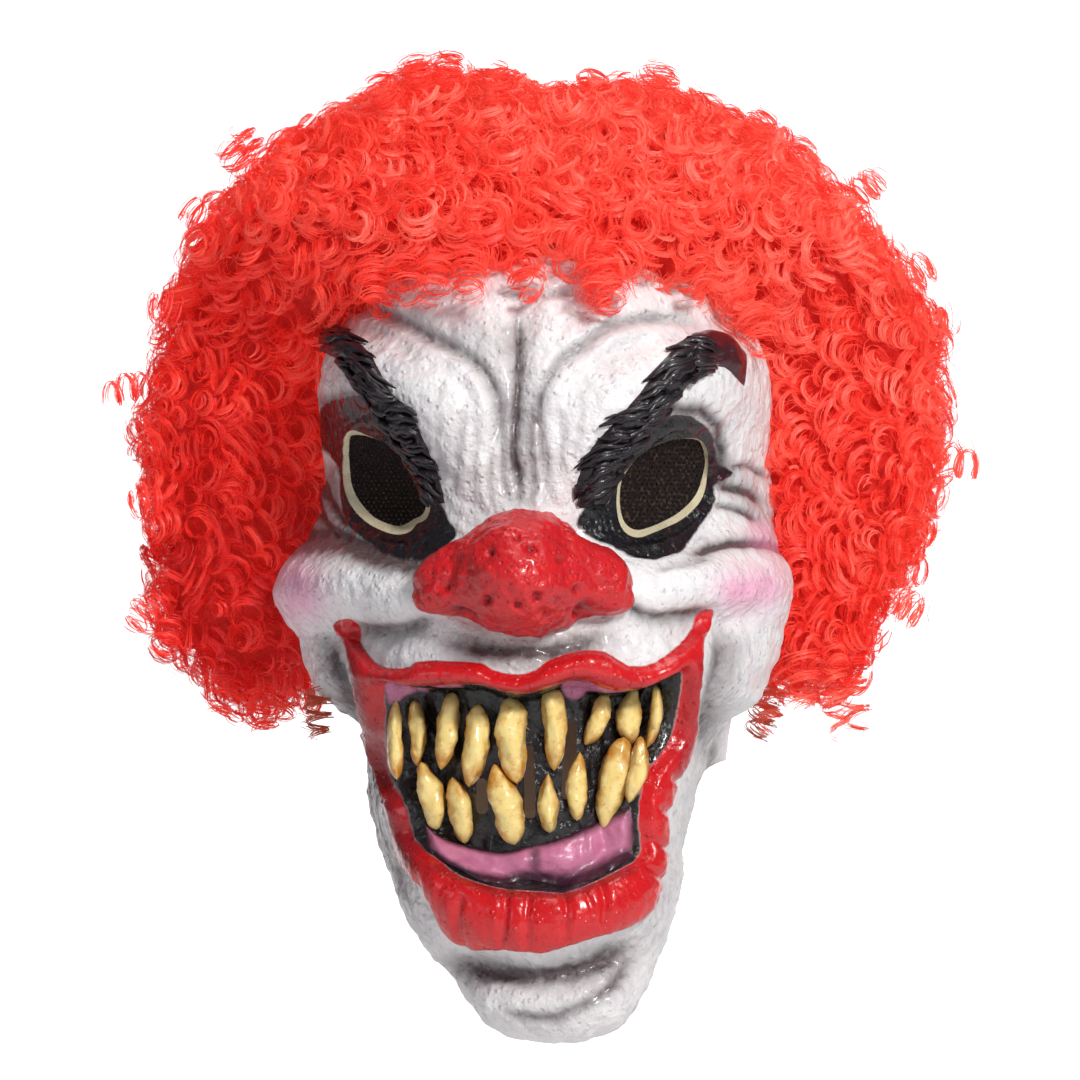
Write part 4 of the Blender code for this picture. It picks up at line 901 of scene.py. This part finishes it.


# Gum: a swollen pink ridge moulded along the floor of the lower jaw, split in the middle. Painted
# shade darkens it where the teeth and the lip meet it, in the split and at its ends.

GUM_RISE = 4.5 * MM
GUM_TOP = ((421, 818), (438, 834), (470, 846), (505, 851), (535, 843), (562, 836), (593, 823), (615, 812), (637, 803))
GUM_LOW = ((428, 852), (450, 866), (474, 878), (500, 884), (532, 880), (562, 887), (590, 880), (615, 868), (637, 853))
GUM_LONG, GUM_WIDE = 80, 16
top, low = smooth_path(GUM_TOP, GUM_LONG), smooth_path(GUM_LOW, GUM_LONG)
points, dark = [], []
for i in range(GUM_LONG):
    for j in range(GUM_WIDE):
        share = j / (GUM_WIDE - 1)
        x, y = top[i] + (low[i] - top[i]) * share
        place, normal = on_skin(x, y)
        end = min(1, 12 * min(i, GUM_LONG - 1 - i) / GUM_LONG)
        split = math.exp(-(((x - 535) / 7) ** 2))
        height = GUM_RISE * max(0.0, math.sin(math.pi * share)) ** 0.5 * end * (1 - 0.45 * split)
        height += 1.6 * MM * noise.noise(place / (7 * MM)) + 0.6 * MM * noise.noise(place / (3 * MM))
        points.append(place + Vector((0, -1, 0.2)) * (height - 0.5 * MM))
        # Painted shade at the edges where the teeth and the lip meet it, in the split and at the ends.
        dark.append(max(smoothstep(0.30, 0.0, share), smoothstep(0.60, 0.95, share), split * 0.6, 1 - end))
flesh = Finish("gum_paint", Coat_Weight=0.2, Coat_Roughness=0.2, Specular_IOR_Level=0.4)
tone = flesh.blend(flesh.noise(7 * MM, 4), (0.46, 0.10, 0.22), (0.66, 0.26, 0.40))
shadow = (flesh.painted("dark") + 0.5 * (flesh.noise(4 * MM, 4) - 0.5)).between(0.10, 0.85)
tone = flesh.blend(shadow, tone, (0.045, 0.008, 0.022))
gum_piece = add_piece("gum_ridge", points, grid_faces(GUM_LONG, GUM_WIDE, closed=False), flesh.finish(
    Base_Color=tone, Roughness=0.28 + 0.2 * flesh.noise(3 * MM), Normal=flesh.bump(flesh.noise(1.5 * MM, 3), 0.3 * MM)))
store(gum_piece, "dark", dark)
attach(gum_piece, "root")
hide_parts("gum_lower")


# Teeth: nine above and seven below, each a crooked pointed spindle moulded on the black lining and
# painted cream, then ochre towards its edges and its root, under gloss. The darker ochre at the
# edges and the root is partly stain and partly painted shade.

Tooth = namedtuple("Tooth", "name top low width fat bend")
TEETH = (
    Tooth("upper_1", (396, 699), (397, 780), 16, 0.55, -2), Tooth("upper_2", (415, 700), (417, 766), 17, 0.40, 2),
    Tooth("upper_3", (453, 692), (441, 770), 22, 0.42, 0), Tooth("upper_4", (479, 704), (469, 787), 25, 0.45, 2),
    Tooth("upper_5", (510, 697), (517, 784), 31, 0.42, -2), Tooth("upper_6", (552, 688), (554, 771), 24, 0.35, 2),
    Tooth("upper_7", (606, 694), (585, 745), 20, 0.45, 3), Tooth("upper_8", (634, 688), (629, 746), 24, 0.48, -3),
    Tooth("upper_9", (656, 685), (646, 749), 13, 0.45, 5),
    Tooth("lower_1", (421, 762), (437, 830), 25, 0.50, 3), Tooth("lower_2", (452, 777), (465, 844), 24, 0.52, 2),
    Tooth("lower_3", (494, 764), (515, 845), 30, 0.55, 2), Tooth("lower_4", (548, 773), (550, 833), 20, 0.60, -1),
    Tooth("lower_5", (580, 752), (577, 821), 20, 0.55, -2), Tooth("lower_6", (624, 737), (604, 830), 30, 0.45, -1),
    Tooth("lower_7", (641, 736), (629, 803), 19, 0.50, 3),
)
TOOTH_DEPTH = 5.5 * MM
TOOTH_ROWS, TOOTH_SIDES = 30, 20
ivory = Finish("tooth_paint", Coat_Weight=0.55, Coat_Roughness=0.10, Specular_IOR_Level=0.45)
tone = ivory.blend(ivory.noise(4 * MM, 4), (0.88, 0.76, 0.34), (0.80, 0.54, 0.13))
stain = ivory.painted("stain") + 1.5 * (ivory.noise(4.0 * MM, 5) - 0.5)
tone = ivory.blend(stain.between(0.22, 0.90), tone, (0.52, 0.22, 0.025))
tone = ivory.blend(ivory.noise(1 * MM, 2).between(0.66, 0.72) * 0.5, tone, (0.30, 0.14, 0.03))
tooth_material = ivory.finish(Base_Color=tone, Roughness=0.25 + 0.2 * ivory.noise(2 * MM),
                              Normal=ivory.bump(ivory.noise(2.0 * MM, 3), 0.40 * MM))
for number, tooth in enumerate(TEETH):
    top, low = np.array(tooth.top, float), np.array(tooth.low, float)
    middle = (top + low) / 2
    near = [on_skin(*(top + (low - top) * t))[0] for t in (0.12, 0.3, 0.5, 0.7, 0.88)]
    flat = min(p.dot(ahead) for p in near)
    aside = np.array((low[1] - top[1], top[0] - low[0]))
    aside = aside / np.linalg.norm(aside)
    points, stain_and_shade_values = [], []
    for i in range(TOOTH_ROWS + 1):
        share = i / TOOTH_ROWS
        off_middle = abs(2 * share ** (math.log(0.5) / math.log(tooth.fat)) - 1)
        swell = max(0.0, 1 - off_middle**2.3) ** 0.62
        for j in range(TOOTH_SIDES):
            turn = 2 * math.pi * j / TOOTH_SIDES
            seed = Vector((share * 3, math.sin(turn), number + math.cos(turn)))
            wobble = 1 + 0.36 * noise.noise(seed) + 0.14 * noise.noise(seed * 3.1)
            off = tooth.width / 2 * swell * math.sin(turn) * wobble + tooth.bend * math.sin(math.pi * share)
            x, y = top + (low - top) * share + aside * off
            way = sight(x, y)
            reach = (flat - camera.location.dot(ahead) - 1.0 * MM) / way.dot(ahead)
            forward = TOOTH_DEPTH * swell * math.cos(turn) * (wobble if math.cos(turn) > 0 else 0.6)
            points.append(camera.location + way * reach - ahead * forward)
            root = share if tooth.name.startswith("lower") else 1 - share
            # Stain and painted shade: darker towards the sides of the spindle and towards its root.
            stain_and_shade_values.append(0.55 * abs(math.sin(turn)) ** 2 + 0.55 * smoothstep(0.55, 1.0, 1 - root) + 0.1)
    piece = add_piece("tooth_" + tooth.name + "_painted", points, grid_faces(TOOTH_ROWS + 1, TOOTH_SIDES), tooth_material)
    store(piece, "stain", stain_and_shade_values)
    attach(piece, "root")
    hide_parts("tooth_" + tooth.name)


# Wig: synthetic fibre set in tight ringlets and sewn in rows to a net cap glued over the crown. The
# thick of it is one deep red mass; over that lie the ringlets, each a bundle of fibres wound in a
# helix, and loose curls stand off it.

WIG_MIDDLE = Vector((0, 10 * MM, -97 * MM))
RAY_START = 0.4
wig_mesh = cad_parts["wig"].data
wig_tree = BVHTree.FromPolygons([v.co for v in wig_mesh.vertices], [list(p.vertices) for p in wig_mesh.polygons])


def hair_reach(way):
    """How far the mass of hair reaches from the wig's middle, or None where there is no hair."""
    way = Vector(way)
    place = wig_tree.ray_cast(WIG_MIDDLE + way * RAY_START, -way, RAY_START)[0]
    return (place - WIG_MIDDLE).length if place else None


def spread_ways(count):
    """Evenly spread unit vectors."""
    turn = math.pi * (3 - math.sqrt(5)) * np.arange(count)
    height = 1 - 2 * (np.arange(count) + 0.5) / count
    ring = np.sqrt(1 - height**2)
    return np.stack([ring * np.cos(turn), ring * np.sin(turn), height], axis=1)


# The fibres glow faintly in their own colour: a painted glow standing in for light passing through them.
fibre = Finish("red_fibre", Roughness=0.45, Specular_IOR_Level=0.25, Emission_Strength=0.24)
lie = fibre.node("CombineXYZ", {}, {"X": fibre.painted("across"), "Y": fibre.painted("along")})
strands = fibre.node("TexNoise", {}, {"Vector": lie, "Scale": 1.0, "Detail": 1.5}, "Fac")
aside = fibre.painted("aside")
opacity = (strands + 0.10 - 0.26 * (aside * aside) + fibre.painted("single")).between(0.47, 0.60)
tone = fibre.node("ValToRGB", {"stops": (
    (0.0, (0.34, 0.006, 0.006)), (0.25, (0.62, 0.016, 0.016)), (0.5, (0.82, 0.040, 0.028)),
    (0.75, (0.86, 0.085, 0.056)), (1.0, (0.89, 0.16, 0.115)))}, {"Fac": fibre.painted("tone") + 0.6 * (strands - 0.55)})
tone = fibre.blend(fibre.painted("brown"), tone, (0.24, 0.07, 0.03))
fibre_material = fibre.finish(Base_Color=tone, Emission_Color=tone, Alpha=opacity)

CORE_RINGS, CORE_COLUMNS = 110, 170
CORE_DEPTH = 9 * MM
core_points, core_faces, core_kept = [], [], {}
for i in range(CORE_RINGS + 1):
    tilt = math.pi * i / CORE_RINGS
    for j in range(CORE_COLUMNS):
        turn = 2 * math.pi * j / CORE_COLUMNS
        way = Vector((math.sin(tilt) * math.sin(turn), -math.sin(tilt) * math.cos(turn), math.cos(tilt)))
        reach = hair_reach(way)
        if reach:
            seed = way * 130 * MM
            dent = 3.0 * MM * noise.fractal(seed / (12 * MM), 1.0, 2.0, 3) + 1.2 * MM * noise.noise(seed / (3 * MM))
            core_kept[i, j] = len(core_points)
            core_points.append(WIG_MIDDLE + way * (reach - CORE_DEPTH + dent))
for i in range(CORE_RINGS):
    for j in range(CORE_COLUMNS):
        k = (j + 1) % CORE_COLUMNS
        corners = [(i, j), (i + 1, j), (i + 1, k), (i, k)]
        if all(corner in core_kept for corner in corners):
            core_faces.append([core_kept[corner] for corner in corners])
# The mass glows faintly too: a painted glow for light passing through the fibres.
core_fibre = Finish("red_mass", Roughness=0.7, Specular_IOR_Level=0.1, Emission_Strength=0.10)
streak = core_fibre.noise(2.0 * MM, 5, 0.7)
core_tone = core_fibre.blend(streak, (0.50, 0.012, 0.012), (0.86, 0.040, 0.030))
core_material = core_fibre.finish(
    Base_Color=core_tone, Emission_Color=core_tone,
    Normal=core_fibre.bump(core_fibre.noise(1.6 * MM, 5, 0.7), 1.5 * MM))
core = add_piece("hair_mass", core_points, core_faces, core_material)
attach(core, "root")
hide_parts("wig")

RINGLETS = 2550
BANDS = 4  # in a ringlet, each a flat lock of many fibres
STEPS = 30
BAND_WIDTHS = (1.7 * MM, 3.2 * MM)
STRAY_WIDTHS = (0.7 * MM, 1.6 * MM)
SINGLE_WIDTH = 0.26 * MM
FIBRE_PITCH = 0.34 * MM
PIECES = 5
Ringlet = namedtuple("Ringlet", "root axis radius length turns facing tone brown")


def wind(ringlets, bands, widths):
    """Bands wound round the ringlets' axes, points x bands x steps, and the values of their points."""
    roots, axes, radii, lengths, turns, facing, tones, browns = (np.array(column) for column in zip(*ringlets))
    side = np.cross(axes, np.where(np.abs(axes[:, 2:3]) < 0.9, (0, 0, 1.0), (1.0, 0, 0)))
    side /= np.linalg.norm(side, axis=1, keepdims=True)
    other = np.cross(axes, side)
    count = len(roots)
    n = count * bands
    each = np.repeat(np.arange(count), bands)
    single = np.tile(np.arange(bands) >= min(bands - 1, 6), count)[:, None, None]
    t = np.linspace(0, 1, STEPS)[None, :, None]
    phase = rng.uniform(0, 2 * np.pi, count)[each] + rng.normal(0, 0.5, n)
    radius = radii[each] * rng.uniform(0.70, 1.12, n) * np.where(single[:, 0, 0], rng.uniform(0.9, 1.5, n), 1)
    hand = rng.choice([-1.0, 1.0], count)[each]
    swing = 0.25 * np.sin(2 * np.pi * (rng.uniform(1, 2, n)[:, None, None] * t + rng.uniform(0, 1, n)[:, None, None]))
    angle = hand[:, None, None] * (2 * np.pi * turns[each][:, None, None] * t) + phase[:, None, None] + swing
    opened = 0.60 + 0.40 * np.sin(np.pi * np.clip(t * 0.9 + 0.1, 0, 1))
    around = np.cos(angle) * side[each][:, None, :] + np.sin(angle) * other[each][:, None, :]
    long = lengths[each][:, None, None]
    middle = roots[each][:, None, :] + axes[each][:, None, :] * long * t + rng.normal(0, 0.8 * MM, (n, 1, 3))
    middle = middle - np.array((0, 0, 1.0)) * (long * 0.12 * t**2)
    line = middle + around * radius[:, None, None] * opened
    along = np.gradient(line, axis=1)
    run = np.cumsum(np.linalg.norm(along, axis=2, keepdims=True), axis=1)
    along /= np.linalg.norm(along, axis=2, keepdims=True)
    tilt = rng.uniform(0.3, 1.5, n)[:, None, None]
    width = np.cross(along, around + tilt * facing[each][:, None, :])
    width /= np.maximum(np.linalg.norm(width, axis=2, keepdims=True), 1e-9)
    wide = np.where(single, SINGLE_WIDTH, rng.uniform(*widths, n)[:, None, None])
    half = wide / 2 * np.minimum(1, 5 * np.minimum(t, 1 - t) + 0.3)
    ribbon = np.stack([line - width * half, line + width * half], axis=2)
    edges = np.array((-1.0, 1.0))[None, None, :] * np.ones((n, STEPS, 1))
    first = rng.uniform(0, 400, n)[:, None, None]
    values = {
        "aside": np.where(single, 0, edges),
        "across": first + edges * wide / 2 / FIBRE_PITCH,
        "along": first + run / (9 * MM) + 0 * edges,
        "single": np.where(single, 1.0, 0.0) + 0 * edges,
        # Painted shade: each lock is darker towards its root, deep in the mass, and lighter at its tip.
        "tone": (tones[each] + rng.normal(0, 0.06, n))[:, None, None] + 0.14 * (t - 0.5) + 0 * edges,
        "brown": browns[each][:, None, None] + 0 * edges,
    }
    return ribbon, values


def add_ribbons(name, ribbon, values):
    """One piece of many ribbons."""
    count, steps = ribbon.shape[:2]
    start = (np.arange(count)[:, None] * steps + np.arange(steps - 1)[None, :]).ravel() * 2
    quads = np.stack([start, start + 1, start + 3, start + 2], axis=1)
    mesh = bpy.data.meshes.new(name)
    mesh.vertices.add(count * steps * 2)
    mesh.vertices.foreach_set("co", ribbon.astype(np.float32).ravel())
    mesh.loops.add(quads.size)
    mesh.loops.foreach_set("vertex_index", quads.astype(np.int32).ravel())
    mesh.polygons.add(len(quads))
    mesh.polygons.foreach_set("loop_start", np.arange(0, quads.size, 4, dtype=np.int32))
    mesh.update(calc_edges=True)
    mesh.materials.append(fibre_material)
    mesh.shade_smooth()
    piece = bpy.data.objects.new(name, mesh)
    bpy.context.scene.collection.objects.link(piece)
    for value, numbers in values.items():
        store(piece, value, numbers)
    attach(piece, "root")


ringlets = []
for way in spread_ways(int(RINGLETS * 1.35)):
    reach = hair_reach(way)
    if not reach or (way[1] > 0.5 and rng.random() < 0.3):
        continue
    tangent = rng.normal(0, 1, 3)
    tangent -= way * (tangent @ way)
    tangent /= np.linalg.norm(tangent)
    axis = way * rng.uniform(0.3, 1.0) + tangent * rng.uniform(0.2, 0.9)
    if way[1] < 0.3:
        axis = axis - np.array(ahead) * rng.uniform(0.2, 1.3)
    axis /= np.linalg.norm(axis)
    length = rng.uniform(9, 18) * MM
    root = np.array(WIG_MIDDLE) + way * (reach + rng.uniform(-7.5, -2.0) * MM) - axis * length * 0.45
    # Painted light: ringlets high up and to the right get a lighter tone, towards coral, where the key light falls.
    light = 0.54 + 0.14 * way[0] + 0.26 * way[2]
    ringlets.append(Ringlet(root, axis, rng.uniform(4.8, 8.2) * MM, length, rng.uniform(2.0, 3.2), way * 1.0,
                            light + rng.normal(0, 0.07), 0.0))
ringlets.sort(key=lambda r: math.atan2(r.root[0], -r.root[1]))
for number in range(PIECES):
    share = ringlets[number * len(ringlets) // PIECES:(number + 1) * len(ringlets) // PIECES]
    add_ribbons("hair_ringlets_" + str(number + 1), *wind(share, BANDS, BAND_WIDTHS))


# Stray ringlets of the wig: the lock that falls on the forehead, loops over the brow, and long thin
# ones that hang off its lower edge or stand off its sides. Places are pixels, the rest mm and degrees.

Stray = namedtuple("Stray", "x y radius length turns lean toward brown")
STRAYS = (
    Stray(603, 238, 6.0, 24, 3.4, 4, 0.6, 0.0), Stray(598, 262, 7.5, 18, 3.0, -8, 0.9, 0.0),
    Stray(606, 284, 8.0, 12, 3.2, 5, 1.6, 0.0), Stray(590, 250, 5.0, 22, 3.0, 12, 0.5, 0.0),
    Stray(520, 268, 6.0, 14, 2.0, 30, 0.8, 0.0), Stray(468, 256, 7.0, 18, 2.6, 10, 0.9, 0.0),
    Stray(436, 260, 6.5, 16, 2.6, -10, 0.9, 0.0), Stray(402, 258, 7.0, 18, 2.6, 15, 0.7, 0.0),
    Stray(372, 264, 6.5, 16, 2.6, 0, 0.7, 0.0), Stray(738, 292, 7.0, 18, 2.2, 20, 0.6, 0.0),
    Stray(757, 305, 6.5, 20, 2.6, 0, 0.6, 0.0), Stray(690, 258, 6.0, 14, 2.2, 35, 0.8, 0.0),
    Stray(560, 236, 6.0, 16, 2.4, 60, 0.6, 0.0), Stray(640, 244, 6.0, 16, 2.4, -50, 0.6, 0.0),
    Stray(318, 690, 5.0, 16, 3.4, 2, 0.2, 0.75), Stray(290, 684, 5.5, 12, 2.2, -15, 0.3, 0.2),
    Stray(778, 665, 5.0, 24, 3.4, -14, 0.3, 0.35), Stray(772, 690, 5.0, 18, 3.4, -20, 0.3, 0.7),
    Stray(832, 660, 5.5, 26, 3.4, 6, 0.3, 0.1), Stray(848, 680, 5.0, 18, 2.6, 10, 0.3, 0.2),
    Stray(800, 650, 6.0, 20, 2.6, 0, 0.3, 0.0), Stray(146, 384, 6.0, 16, 2.6, -80, 0.4, 0.0),
    Stray(160, 600, 7.0, 14, 2.4, -40, 0.6, 0.0), Stray(172, 620, 5.0, 14, 2.4, -20, 0.6, 0.0),
    Stray(248, 172, 6.0, 16, 2.6, -140, 0.5, 0.0), Stray(256, 158, 5.0, 14, 2.4, -150, 0.5, 0.0),
    Stray(492, 104, 6.5, 16, 3.0, 172, 0.3, 0.0), Stray(940, 455, 6.0, 16, 2.4, 80, 0.5, 0.0),
    Stray(916, 325, 6.0, 16, 2.6, 100, 0.5, 0.0), Stray(900, 278, 6.0, 14, 2.6, 120, 0.5, 0.0),
    Stray(850, 198, 6.0, 14, 2.6, 130, 0.5, 0.0), Stray(418, 88, 6.5, 14, 2.6, -170, 0.6, 0.0),
    Stray(446, 84, 6.5, 14, 2.6, 170, 0.6, 0.0), Stray(655, 92, 6.5, 12, 2.6, 160, 0.6, 0.0),
    Stray(752, 138, 6.0, 12, 2.6, 150, 0.5, 0.0), Stray(212, 220, 6.0, 12, 2.4, -120, 0.5, 0.0),
    Stray(178, 310, 6.0, 12, 2.4, -100, 0.5, 0.0), Stray(160, 500, 6.0, 12, 2.4, -80, 0.5, 0.0),
    Stray(230, 680, 6.0, 14, 2.4, -20, 0.5, 0.0), Stray(262, 692, 6.0, 14, 2.6, 0, 0.5, 0.0),
    Stray(895, 600, 6.0, 12, 2.4, 60, 0.5, 0.0), Stray(390, 108, 6.0, 14, 2.6, -160, 0.5, 0.0),
)
STRAY_BANDS = 9


def in_picture(px, py):
    """The nearest of hair and latex at a pixel, or past them the place level with the wig's middle."""
    way = sight(px, py)
    hits = [tree.ray_cast(camera.location, way)[0] for tree in (wig_tree, whole_skin)]
    hits = [hit for hit in hits if hit]
    if hits:
        return min(hits, key=lambda hit: (hit - camera.location).length)
    return camera.location + way * ((WIG_MIDDLE - camera.location).dot(ahead) / way.dot(ahead))


strays = []
for stray in STRAYS:
    lean = math.radians(stray.lean)
    axis = right * math.sin(lean) - Vector((0, 0, math.cos(lean))) - ahead * stray.toward
    axis.normalize()
    root = in_picture(stray.x, stray.y) - ahead * (stray.radius * 0.8 * MM)
    # Painted light: strays further to the right get a lighter tone.
    tone = 0.62 + 0.0004 * (stray.x - 540)
    strays.append(Ringlet(np.array(root), np.array(axis), stray.radius * MM, stray.length * MM, stray.turns,
                          -0.4 * np.array(ahead), tone, stray.brown))
add_ribbons("hair_strays", *wind(strays, STRAY_BANDS, STRAY_WIDTHS))
